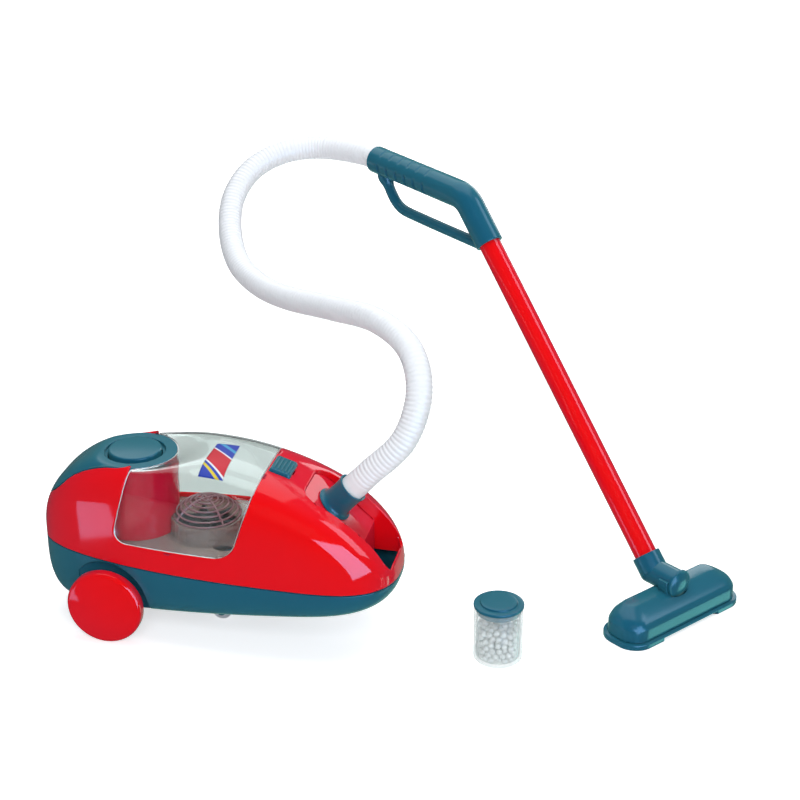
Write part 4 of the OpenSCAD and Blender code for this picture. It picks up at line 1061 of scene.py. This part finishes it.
class TOYVAC_OT_chamber(PieceOperator, bpy.types.Operator):
    """Round wall at the back of the chamber and the domed ring grille over the fan"""
    bl_idname = "toyvac.chamber"
    bl_label = "Chamber"

    def execute(self, context):
        low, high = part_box("motor_tower")
        bottom, top = low[2] / MM, high[2] / MM
        wall, collar_r, collar_z, roof_gap = 2.4, 31.4, 101, 2.9
        radius, deck = PANEL_R - 0.3, BUTTON_Z - 26
        inner = radius - wall
        profile = [(inner, bottom), (radius - 0.3, bottom), (radius, bottom + 0.3), (radius, top - 0.4),
                   (radius - 0.4, top), (inner, top), (inner, deck), (0, deck), (0, deck - wall),
                   (inner, deck - wall), (inner, bottom)]
        bm = spun(profile, Matrix.Translation((PANEL_X, 0, 0)), 128)
        trim(bm, lambda p: p, lambda p: -min(inside_circle(p, FAN_X, 0, collar_r), collar_z - p[2]))
        form = BodyForm()
        trim(bm, lambda p: p, lambda p: form.roof(p[0], p[1], roof_gap) - p[2])
        piece = finish_piece(bm, "chamber_tower", "canister", "red_plastic", ("motor_tower",))
        piece.data.materials[0] = chamber_red()
        self.grille()
        return {"FINISHED"}

    def grille(self):
        rings, outer, dome, base, thick = 7, 29.0, 14.0, 100.0, 0.8
        round_r = (outer * outer + dome * dome) / (2 * dome)
        steep = math.asin(outer / round_r)

        def on_dome(lean, inset=0.0):
            return Vector((round_r * math.sin(lean) - inset, 0, base + 1.0 + round_r * math.cos(lean) - round_r + dome))

        bm = bmesh.new()
        for i in range(1, rings + 1):
            spot = on_dome(steep * i / rings, thick * (i == rings))
            matrix = Matrix.Translation(spot) @ Matrix.Rotation(math.pi / 2, 4, "X")
            loop = bmesh.ops.create_circle(bm, cap_ends=False, segments=8, radius=thick, matrix=matrix)["verts"]
            edges = {edge for vert in loop for edge in vert.link_edges}
            bmesh.ops.spin(bm, geom=loop + list(edges), cent=(0, 0, 0), axis=(0, 0, 1), angle=math.tau, steps=72,
                           use_merge=True, use_duplicate=False)
        for k in range(4):
            turn = Matrix.Rotation(math.radians(45 + 90 * k), 4, "Z")
            spoke = swept(stations([turn @ on_dome(steep * i / 12) for i in range(13)], [0.95] * 13), 8)
            mesh = bpy.data.meshes.new("spoke")
            spoke.to_mesh(mesh)
            spoke.free()
            bm.from_mesh(mesh)
            bpy.data.meshes.remove(mesh)
        bmesh.ops.translate(bm, vec=(FAN_X, 0, 0), verts=bm.verts)
        bmesh.ops.remove_doubles(bm, verts=bm.verts, dist=0.001)
        piece = finish_piece(bm, "ring_grille", "canister", "clear_plastic", ("filter_grille",))
        piece.data.materials[0] = rosy_plastic()


class TOYVAC_OT_wheels(PieceOperator, bpy.types.Operator):
    """The two domed rear wheels"""
    bl_idname = "toyvac.wheels"
    bl_label = "Rear wheels"

    def execute(self, context):
        radius = in_mm(settings().canister.wheel_radius)
        inner, back, outer, dome, edge, hub = 40.0, 54.0, 63.0, 3.5, 4.0, 8.5
        face = radius - edge
        shell = [(0, inner), (hub, inner), (hub, back + 4), (radius - 3.0, back + 4), (radius - 3.0, back),
                 (radius - 0.6, back), (radius, back + 0.6)]
        shell += arc((face, outer - edge), edge, 0, 80, 7)
        shell += [(face * i / 12, outer + dome * (1 - (i / 12) ** 2)) for i in range(11, -1, -1)]
        for name, side in (("right", -1), ("left", 1)):
            matrix = Matrix.Translation((0, 0, radius)) @ Matrix.Rotation(math.radians(-90 * side), 4, "X")
            bm = spun(shell, matrix, 96)
            finish_piece(bm, "domed_wheel_" + name, "wheel_" + name, "red_plastic", ("rear_wheel_" + name,))
        return {"FINISHED"}


class TOYVAC_OT_connector(PieceOperator, bpy.types.Operator):
    """Trumpet in the nose pocket that takes the hose"""
    bl_idname = "toyvac.connector"
    bl_label = "Hose connector"

    def execute(self, context):
        profile = [(9.2, -4), (10.2, -4), (10.2, 0.1), (15.2, 0.1)]
        profile += arc((15.2, 1.2), 0.9, -60, 90, 6)
        profile += [(14.6, 2.4), (13.7, 3.4), (13.1, 5.0), (12.75, 8), (12.6, 12), (12.62, 16), (12.8, 19.5),
                    (13.1, 22.2), (13.4, 24.2)]
        profile += arc((13.0, 24.6), 0.5, 0, 110, 4)
        profile += [(11.9, 24.8), (11.8, 24.2), (11.8, 17), (9.2, 17), (9.2, -4)]
        matrix = Matrix.Translation(CONNECTOR_FOOT) @ Matrix.Rotation(POCKET_SLOPE, 4, "Y")
        bm = spun(profile, matrix, 72)
        finish_piece(bm, "hose_trumpet", "canister", "teal_plastic", ("hose_connector",))
        return {"FINISHED"}


class TOYVAC_OT_handle(PieceOperator, bpy.types.Operator):
    """Handle: socket, bend, grip with finger grooves, and guard"""
    bl_idname = "toyvac.handle"
    bl_label = "Handle"

    def execute(self, context):
        sizes = settings().wand
        to_axle = wand_frame()
        way, grip, socket, corner, end = wand_line()
        grip_r = in_mm(sizes.grip_radius)
        turn = sizes.lean - GRIP_LEAN
        bend_start = corner - way * (BEND_R * math.tan(turn / 2))
        step = 0.8
        line = [socket + way * (k * step) for k in range(int((bend_start - socket).length / step))]
        centre = bend_start + Vector((0, way.z, -way.y)) * BEND_R
        arm = bend_start - centre
        for k in range(25):
            line.append(centre + Quaternion((1, 0, 0), -turn * k / 24) @ arm)
        bend_end = line[-1]
        span = (end - bend_end).length
        line += [bend_end + grip * (span * k / 240) for k in range(1, 241)]
        radii = [SLEEVE_R + (grip_r - SLEEVE_R) * ease(run, 30, 70) for run in run_lengths(line)]
        frames = stations(line, radii)
        opening = rings_at(frames[0], radii[0], ((8, 10.15), (0.2, 10.15), (-0.1, 10.6), (-0.1, 12.0), (0.1, 12.4)))
        closing = rings_at(frames[-1], radii[-1],
                           ((0.1, grip_r - 0.2), (0.3, grip_r - 0.6), (0.3, 12.0), (0.0, 11.6), (-9, 11.6)))
        bm = swept(opening + frames[1:] + closing, 48, False, False)
        down = Vector((0, grip.z, -grip.y))
        half, pitch, start, count, deep, shallow = 1.7, 13.0, 16.0, 6, 2.1, 0.6
        length = in_mm(sizes.grip_length)
        for vert in bm.verts:
            along = (vert.co - corner).dot(grip)
            off = length - along - start
            nearest = off - pitch * min(count - 1, max(0, round(off / pitch)))
            if abs(nearest) >= half or along < 8:
                continue
            across = vert.co - corner - grip * along
            low = across.dot(down) / max(1e-6, across.length)
            depth = deep * ease(low, -0.07, 0.04) + shallow * ease(-low, 0.6, 0.8)
            vert.co -= across.normalized() * depth * math.sqrt(1 - (nearest / half) ** 2)
        finish_piece(bm, "grip_handle", "wand", "teal_plastic", ("handle",), smooth_angle=50, matrix=to_axle)
        self.guard(to_axle, corner, grip)
        return {"FINISHED"}

    def guard(self, to_axle, corner, grip):
        sizes = settings().wand
        grip_l, grip_r = in_mm(sizes.grip_length), in_mm(sizes.grip_radius)
        up = Vector((0, -grip.z, grip.y))
        shares = ((0.9, -0.7), (0.887, -1.13), (0.786, -2.41), (0.7, -2.93), (0.595, -3.06), (-0.19, -3.06))
        marks = [corner + grip * (a * grip_l) + up * (b * grip_r) for a, b in shares]
        ways = directions(marks)
        fine = []
        for a, b, way_a, way_b in zip(marks, marks[1:], ways, ways[1:]):
            run = (b - a).length
            fine += hermite_line([a, b], [way_a * run, way_b * run], 16)[:-1]
        points, length = even_points(fine + [marks[-1]], 1.5)
        thin, flare = 5.0, 2.6
        radii = [thin + flare * (1 - ease(length * i / (len(points) - 1), 3, 16)) for i in range(len(points))]
        bm = swept(stations([to_axle @ p for p in points], radii), 28)
        finish_piece(bm, "hand_guard", "wand", "teal_plastic", smooth_angle=60)


class TOYVAC_OT_wand(PieceOperator, bpy.types.Operator):
    """Red tube and the elbow that turns in the floor head"""
    bl_idname = "toyvac.wand"
    bl_label = "Tube and neck"

    def execute(self, context):
        sizes = settings().wand
        to_axle = wand_frame()
        way = wand_line()[0]
        radius, length = in_mm(sizes.tube_radius), in_mm(sizes.tube_length)
        lean = Vector((0, 0, 1)).rotation_difference(way).to_matrix().to_4x4()
        profile = [(radius - 2, -16), (radius - 0.4, -16), (radius, -15.6), (radius, length + 15.6),
                   (radius - 0.4, length + 16), (radius - 2, length + 16), (radius - 2, -16)]
        bm = spun(profile, to_axle @ Matrix.Translation(NECK_RIM) @ lean, 64)
        finish_piece(bm, "red_tube", "wand", "red_plastic", ("wand_tube",))
        self.neck(to_axle, way)
        return {"FINISHED"}

    def neck(self, to_axle, way):
        elbow = Vector((0, NECK_RIM.y - (NECK_RIM.z - BARREL_Z) * way.y / way.z, BARREL_Z))
        turn = math.acos(max(-1, min(1, way.y)))
        bend, steps = 1.0, 10
        start = elbow + way * (bend * math.tan(turn / 2))
        line = [NECK_RIM.lerp(start, k / steps) for k in range(steps)]
        radii = [SLEEVE_R] * steps
        centre = start + Vector((0, -way.z, way.y)) * bend
        for k in range(13):
            line.append(centre + Quaternion((1, 0, 0), -turn * k / 12) @ (start - centre))
            radii.append(SLEEVE_R + (BARREL_R - SLEEVE_R) * ease(k, 2, 12))
        last = line[-1]
        for k in range(1, 9):
            line.append(last.lerp(Vector((0, 3.0, BARREL_Z)), k / 8))
            radii.append(BARREL_R)
        frames = stations(line, radii)
        mouth = rings_at(frames[0], SLEEVE_R, ((6, 10.15), (0.2, 10.15), (-0.1, 10.6), (-0.1, 12.0), (0.15, 12.45)))
        cap = rings_at(frames[-1], BARREL_R,
                       ((0.0, 12.1), (0.3, 12.6), (2.3, 12.6), (2.8, 12.3), (2.9, 11.8), (2.7, 11.3), (3.2, 10.6),
                        (4.1, 8.8), (4.8, 6.6), (5.3, 4.2), (5.5, 1.8)))
        bm = swept(mouth + frames[1:] + cap, 56, False, True)
        finish_piece(bm, "elbow_neck", "wand", "teal_plastic", ("nozzle_neck",), smooth_angle=50, matrix=to_axle)


class TOYVAC_OT_head(PieceOperator, bpy.types.Operator):
    """Floor head: cover, open collar and sole plate"""
    bl_idname = "toyvac.head"
    bl_label = "Floor head"

    def execute(self, context):
        sizes = settings().wand
        to_axle = wand_frame()
        long, deep, corner_r, shift = in_mm(sizes.sole_length), in_mm(sizes.sole_depth), 19.0, 8.0
        rings = [(3.6, 5.3, 0), (3.05, 5.4, 0), (3.0, 5.9, 0), (3.1, 9.6, 0), (3.2, 13.3, 0), (3.3, 16.0, 0),
                 (3.5, 16.9, 0.0), (4.0, 18.0, 0.01), (4.8, 19.8, 0.05), (5.8, 21.5, 0.1), (7.0, 23.0, 0.18),
                 (8.6, 24.4, 0.3), (10.8, 26.0, 0.45), (13.4, 27.7, 0.66), (15.3, 28.9, 0.84), (16.6, 29.6, 0.95),
                 (18.4, 30.0, 1.0)]

        def outline(angle, ring):
            inset, z, crest = ring
            half_l, half_d = long / 2 - inset * (1 + 0.05 * crest), deep / 2 - inset
            radius = max(1.0, min(corner_r - inset * 0.6, half_d - 0.2))
            return rounded_ring(angle, half_l, half_d, radius) + Vector((0, shift + 5.0 * crest, z))

        bm = stacked(rings, outline, 160, False, True)
        bore, step_y, dome_r, dome_y, dome_h = 11.9, 3.4, 12.2, -0.2, 2.9

        def outside_bore(p):
            room = bore if p[1] > step_y else bore + 1.2
            if p[1] < dome_y:
                room = dome_r * math.sqrt(max(0.0, 1 - ((p[1] - dome_y) / dome_h) ** 2))
            return math.hypot(p[0], p[2] - BARREL_Z) - room

        trim(bm, lambda p: p, outside_bore)
        piece = finish_piece(bm, "head_cover", "nozzle", "teal_plastic", ("nozzle_head",), matrix=to_axle)
        add_wall(piece, 0.0022, 0.0005)
        self.collar(to_axle)
        self.sole(to_axle, long, deep, corner_r, shift)
        return {"FINISHED"}

    def sole(self, to_axle, long, deep, corner_r, shift):
        mouth, notch, notch_d, thick = (43.0, 9.0), 34.0, 5.0, 5.0
        rings = [("mouth", 0, thick), ("mouth", 0, 0.4), ("mouth", 0.4, 0), ("notched", 0.7, 0), ("notched", 0.2, 0.2),
                 ("notched", 0, 0.7), ("notched", 0, thick - 1.6), ("full", 0, thick - 1.6), ("full", 0, thick - 0.6),
                 ("full", 0.2, thick - 0.15), ("full", 0.6, thick), ("mouth", 0, thick)]

        def outline(angle, ring):
            kind, inset, z = ring
            if kind == "mouth":
                spot = rounded_ring(angle, mouth[0] + inset, mouth[1] + inset, 1.5)
            else:
                spot = rounded_ring(angle, long / 2 - inset, deep / 2 - inset, corner_r - inset)
                if kind == "notched" and abs(spot.x) < notch and spot.y < 0:
                    spot.y += notch_d
            return spot + Vector((0, shift, z))

        bm = stacked(rings, outline, 240, False, False)
        bmesh.ops.remove_doubles(bm, verts=bm.verts, dist=0.001)
        finish_piece(bm, "sole_plate", "nozzle", "teal_plastic", ("nozzle_sole",), smooth_angle=35, matrix=to_axle)

    def collar(self, to_axle):
        profile = [(11.8, 3.5), (13.6, 3.5), (14.05, 3.95), (14.05, 13.05), (13.6, 13.5), (11.8, 13.5), (11.8, 3.5)]
        matrix = Matrix.Translation((0, 0, BARREL_Z)) @ Matrix.Rotation(math.radians(-90), 4, "X")
        bm = spun(profile, matrix, 96)
        bmesh.ops.bisect_plane(bm, geom=bm.verts[:] + bm.edges[:] + bm.faces[:], plane_co=(0, 0, 40),
                               plane_no=(0, 0, 1), clear_outer=True)
        rim = rim_edges(bm)
        bmesh.ops.holes_fill(bm, edges=rim, sides=0)
        finish_piece(bm, "head_collar", "nozzle", "teal_plastic", matrix=to_axle)


def rounded_ring(angle, half_l, half_d, radius):
    """Point of a rounded rectangle in the direction of an angle, evenly spread"""
    total = 4 * (half_l + half_d - 2 * radius) + math.tau * radius
    run = (angle / math.tau % 1.0) * total
    corners = ((half_l - radius, half_d - radius), (-half_l + radius, half_d - radius),
               (-half_l + radius, -half_d + radius), (half_l - radius, -half_d + radius))
    start = half_d - radius
    if run < start:
        return Vector((half_l, run, 0))
    run -= start
    for k, (cx, cy) in enumerate(corners):
        bend = math.pi / 2 * radius
        if run < bend:
            a = math.pi / 2 * k + run / radius
            return Vector((cx + radius * math.cos(a), cy + radius * math.sin(a), 0))
        run -= bend
        side = 2 * (half_l - radius) if k % 2 == 0 else 2 * (half_d - radius)
        if k == 3:
            side = half_d - radius
        if run < side or k == 3:
            a = math.pi / 2 * (k + 1)
            way = (Vector((-1, 0, 0)), Vector((0, -1, 0)), Vector((1, 0, 0)), Vector((0, 1, 0)))[k]
            return Vector((cx + radius * math.cos(a), cy + radius * math.sin(a), 0)) + way * run
        run -= side


class TOYVAC_OT_jar(PieceOperator, bpy.types.Operator):
    """Clear jar, its lid and the foam balls inside"""
    bl_idname = "toyvac.jar"
    bl_label = "Jar"

    def execute(self, context):
        sizes = settings().jar
        radius, height, lid_h = in_mm(sizes.radius), in_mm(sizes.height), in_mm(sizes.lid_height)
        place = Matrix.Translation(JAR_SPOT)
        wall, base, play, plug_h, flange, inset = 1.8, 2.2, 0.3, 6.0, 2.6, 5.0
        profile = [(0, 0.5), (radius - 4, 0.5), (radius - 2.6, 0.0)] + arc((radius - 2, 2), 2, -80, 0, 5)
        profile += [(radius, height - 0.7), (radius - 0.5, height), (radius - wall + 0.3, height),
                    (radius - wall, height - 0.3), (radius - wall, base + 2.5)]
        profile += arc((radius - wall - 2.5, base + 2.5), 2.5, 0, -90, 4) + [(0, base)]
        piece = finish_piece(spun(profile, place, 72), "clear_jar", "pot", "clear_plastic", ("jar",))
        piece.data.materials[0] = jar_plastic()
        piece.visible_shadow = False
        seat = height + play
        foot, shoulder = seat - plug_h, seat + flange
        top = foot + lid_h
        plug, rim, step = radius - wall - play, radius + 0.6, radius - inset
        profile = [(plug - wall, foot), (plug - 0.4, foot), (plug, foot + 0.4), (plug, seat), (rim - 0.4, seat),
                   (rim, seat + 0.4)]
        profile += arc((rim - 0.9, shoulder - 0.9), 0.9, 0, 90, 5)
        profile += [(step + 0.7, shoulder)] + arc((step + 0.6, shoulder + 0.6), 0.6, 270, 180, 4)
        profile += arc((step - 0.8, top - 0.8), 0.8, 0, 90, 5)
        profile += [(step * i / 6, top - 0.25 * (i / 6) ** 2) for i in range(4, -1, -1)]
        profile += [(0, seat), (plug - wall, seat), (plug - wall, foot)]
        finish_piece(spun(profile, place, 80), "jar_cap", "pot_lid", "teal_plastic", ("jar_lid",))
        self.balls(place, radius - wall, base, height)
        return {"FINISHED"}

    def balls(self, place, inner, base, height):
        sizes = settings().jar
        ball, count = in_mm(sizes.ball_radius), sizes.ball_count
        free_h, fall, rounds = 14, 0.12, 90
        dice = random.Random(11)
        spots = []
        for i in range(count):
            turn, far = dice.uniform(0, math.tau), (inner - ball) * math.sqrt(dice.random())
            spots.append(Vector((far * math.cos(turn), far * math.sin(turn),
                                 base + ball + (height - free_h - base) * (i + dice.random()) / count)))
        for _ in range(rounds):
            for i, a in enumerate(spots):
                a.z -= fall
                for b in spots[:i]:
                    gap = a - b
                    near = gap.length
                    if 0 < near < 2 * ball:
                        push = gap * ((2 * ball - near) / near / 2)
                        a += push
                        b -= push
                flat = math.hypot(a.x, a.y)
                if flat > inner - ball:
                    a.x *= (inner - ball) / flat
                    a.y *= (inner - ball) / flat
                a.z = max(base + ball, a.z)
        bm = bmesh.new()
        for spot in spots:
            size = ball * dice.uniform(0.86, 1.0)
            bmesh.ops.create_icosphere(bm, subdivisions=2, radius=size, matrix=place @ Matrix.Translation(spot)
                                       @ Matrix.Rotation(dice.uniform(0, 3), 4, "X"))
        finish_piece(bm, "foam_beads", "pot", "foam", ("foam_balls",), smooth_angle=180)


class TOYVAC_OT_finishes(PieceOperator, bpy.types.Operator):
    """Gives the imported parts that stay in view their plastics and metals"""
    bl_idname = "toyvac.finishes"
    bl_label = "Finishes"

    def execute(self, context):
        for row in frame["record"]["subparts"]:
            piece = frame["nodes"][row["node"]]
            material = NODE_FINISH.get(row["node"], SLOT_FINISH[row["material_slot"]])()
            if not piece.material_slots:
                piece.data.materials.append(material)
            for place in piece.material_slots:
                place.material = material
        return {"FINISHED"}


class TOYVAC_OT_stage(PieceOperator, bpy.types.Operator):
    """Pale floor, white surround, soft boxes, and cards that only reflections show"""
    bl_idname = "toyvac.stage"
    bl_label = "Stage"

    def execute(self, context):
        scene = context.scene
        scene.view_settings.view_transform = "Standard"
        studio = settings().studio
        world = bpy.data.worlds.new("white_surround")
        world.use_nodes = True
        tree = world.node_tree
        behind = tree.nodes["Background"].inputs
        behind["Color"].default_value = (0.94, 0.97, 1, 1)
        path = node(tree, "ShaderNodeLightPath").outputs
        dim = node(tree, "ShaderNodeMapRange",
                   {"Value": path["Is Glossy Ray"], "To Min": studio.sky, "To Max": studio.sky * 0.5})
        backdrop = node(tree, "ShaderNodeMath", {0: dim.outputs["Result"], 1: path["Is Camera Ray"]},
                        operation="MAXIMUM")
        tree.links.new(backdrop.outputs["Value"], behind["Strength"])
        scene.world = world
        bm = bmesh.new()
        bmesh.ops.create_grid(bm, x_segments=8, y_segments=8, size=6)
        mesh = bpy.data.meshes.new("floor")
        bm.to_mesh(mesh)
        bm.free()
        floor = bpy.data.objects.new("floor", mesh)
        scene.collection.objects.link(floor)
        paint = plastic("pale_floor", (0.93, 0.93, 0.93), 0.8, 0.05, 0.01, cloud=1.5, bump=0, Specular_IOR_Level=0.0)
        tree = paint.node_tree
        place = node(tree, "ShaderNodeTexCoord").outputs["Object"]
        far = node(tree, "ShaderNodeVectorMath", {0: place}, operation="LENGTH").outputs["Value"]
        rise = node(tree, "ShaderNodeMapRange",
                    {"From Min": 0.3, "From Max": 1.2, "To Min": studio.floor_glow, "Value": far},
                    interpolation_type="SMOOTHSTEP")
        path = node(tree, "ShaderNodeLightPath").outputs
        seen = node(tree, "ShaderNodeMath", {0: path["Is Camera Ray"], 1: rise.outputs["Result"]},
                    operation="MULTIPLY")
        shader = tree.nodes["Principled BSDF"].inputs
        shader["Emission Color"].default_value = (1, 1, 1, 1)
        tree.links.new(seen.outputs["Value"], shader["Emission Strength"])
        mesh.materials.append(paint)
        floor.visible_glossy = False
        plain, blue = (0.93, 0.96, 1), (0.32, 0.6, 1)
        for name, place, right, size, power, color, card in (
                ("top_box", (0.1, 0.1, 1.7), (1, 0, 0), (1.4, 1.0), 14, plain, False),
                ("fill_box", (0.4, -1.7, 1.2), (1, 0.2, 0), (1.4, 1.0), 19, plain, False),
                ("back_box", (0.0, 1.3, 1.2), (-1, 0, 0), (2.4, 0.8), 11, plain, False),
                ("lid_card", (-0.3, 0.5, 1.3), (-1, 0, 0), (1.4, 1.6), 8, plain, True),
                ("crest_card", (0.3, 1.05, 0.5), (-1, 0.3, 0), (0.55, 0.4), 1.6, plain, True),
                ("left_card", (-1.17, -0.92, -0.355), (0.245, -0.295, 0.03), (0.385, 0.31), 1.1, blue, True),
                ("nose_card", (0.725, -0.915, 0.2), (0.62, 0.75, 0.39), (1.0, 1.0), 24, blue, True),
                ("head_card", (1.09, 0.12, -0.5), (-0.2, 0.834, 0), (0.5, 0.45), 2.2, (0.3, 1, 0.85), True),
                ("tube_card", (1.1, 0.13, 1.02), (-0.38, 0.26, 0.46), (1.0, 0.5), 6, (0.6, 0.78, 1), True),
                ("under_card", (0.1, 0.95, -0.8), (1, 0, 0), (2.0, 1.3), 4, (0.5, 1, 0.8), True)):
            light = bpy.data.lights.new(name, "AREA")
            light.shape = "RECTANGLE"
            light.size, light.size_y = size
            light.energy = power
            light.color = color
            lamp = bpy.data.objects.new(name, light)
            away = (Vector(place) - Vector((0, 0, 0.1))).normalized()
            side = (Vector(right) - away * away.dot(Vector(right))).normalized()
            lamp.matrix_world = Matrix.Translation(place) @ Matrix((side, away.cross(side), away)).transposed().to_4x4()
            lamp.visible_glossy, lamp.visible_diffuse, lamp.visible_camera = card, not card, False
            scene.collection.objects.link(lamp)
        return {"FINISHED"}


class TOYVAC_PT_panel(bpy.types.Panel):
    """Lists the set's values and operators in the sidebar"""
    bl_idname = "TOYVAC_PT_panel"
    bl_label = "Toy vacuum cleaner set"
    bl_space_type = "VIEW_3D"
    bl_region_type = "UI"
    bl_category = "Toy Vacuum"

    def draw(self, context):
        for group in ("canister", "hose", "wand", "jar", "finishes", "studio"):
            box = self.layout.box()
            box.label(text=group.capitalize())
            values = getattr(settings(), group)
            for name in values.__annotations__:
                box.prop(values, name)
        for operator in OPERATORS:
            self.layout.operator(operator.bl_idname)


GROUPS = (CanisterSizes, HoseSizes, WandSizes, JarSizes, Finishes, Studio, ToyVacuum)
OPERATORS = (TOYVAC_OT_camera, TOYVAC_OT_hose, TOYVAC_OT_shells, TOYVAC_OT_panel, TOYVAC_OT_lid,
             TOYVAC_OT_chamber, TOYVAC_OT_wheels, TOYVAC_OT_connector, TOYVAC_OT_handle, TOYVAC_OT_wand,
             TOYVAC_OT_head, TOYVAC_OT_jar, TOYVAC_OT_finishes, TOYVAC_OT_stage)


def register():
    for cls in GROUPS + OPERATORS + (TOYVAC_PT_panel,):
        bpy.utils.register_class(cls)
    bpy.types.Scene.toy_vacuum = bpy.props.PointerProperty(type=ToyVacuum)


def unregister():
    del bpy.types.Scene.toy_vacuum
    for cls in reversed(GROUPS + OPERATORS + (TOYVAC_PT_panel,)):
        bpy.utils.unregister_class(cls)


def main():
    register()
    for operator in OPERATORS:
        group, name = operator.bl_idname.split(".")
        getattr(getattr(bpy.ops, group), name)()


if __name__ == "__main__":
    main()
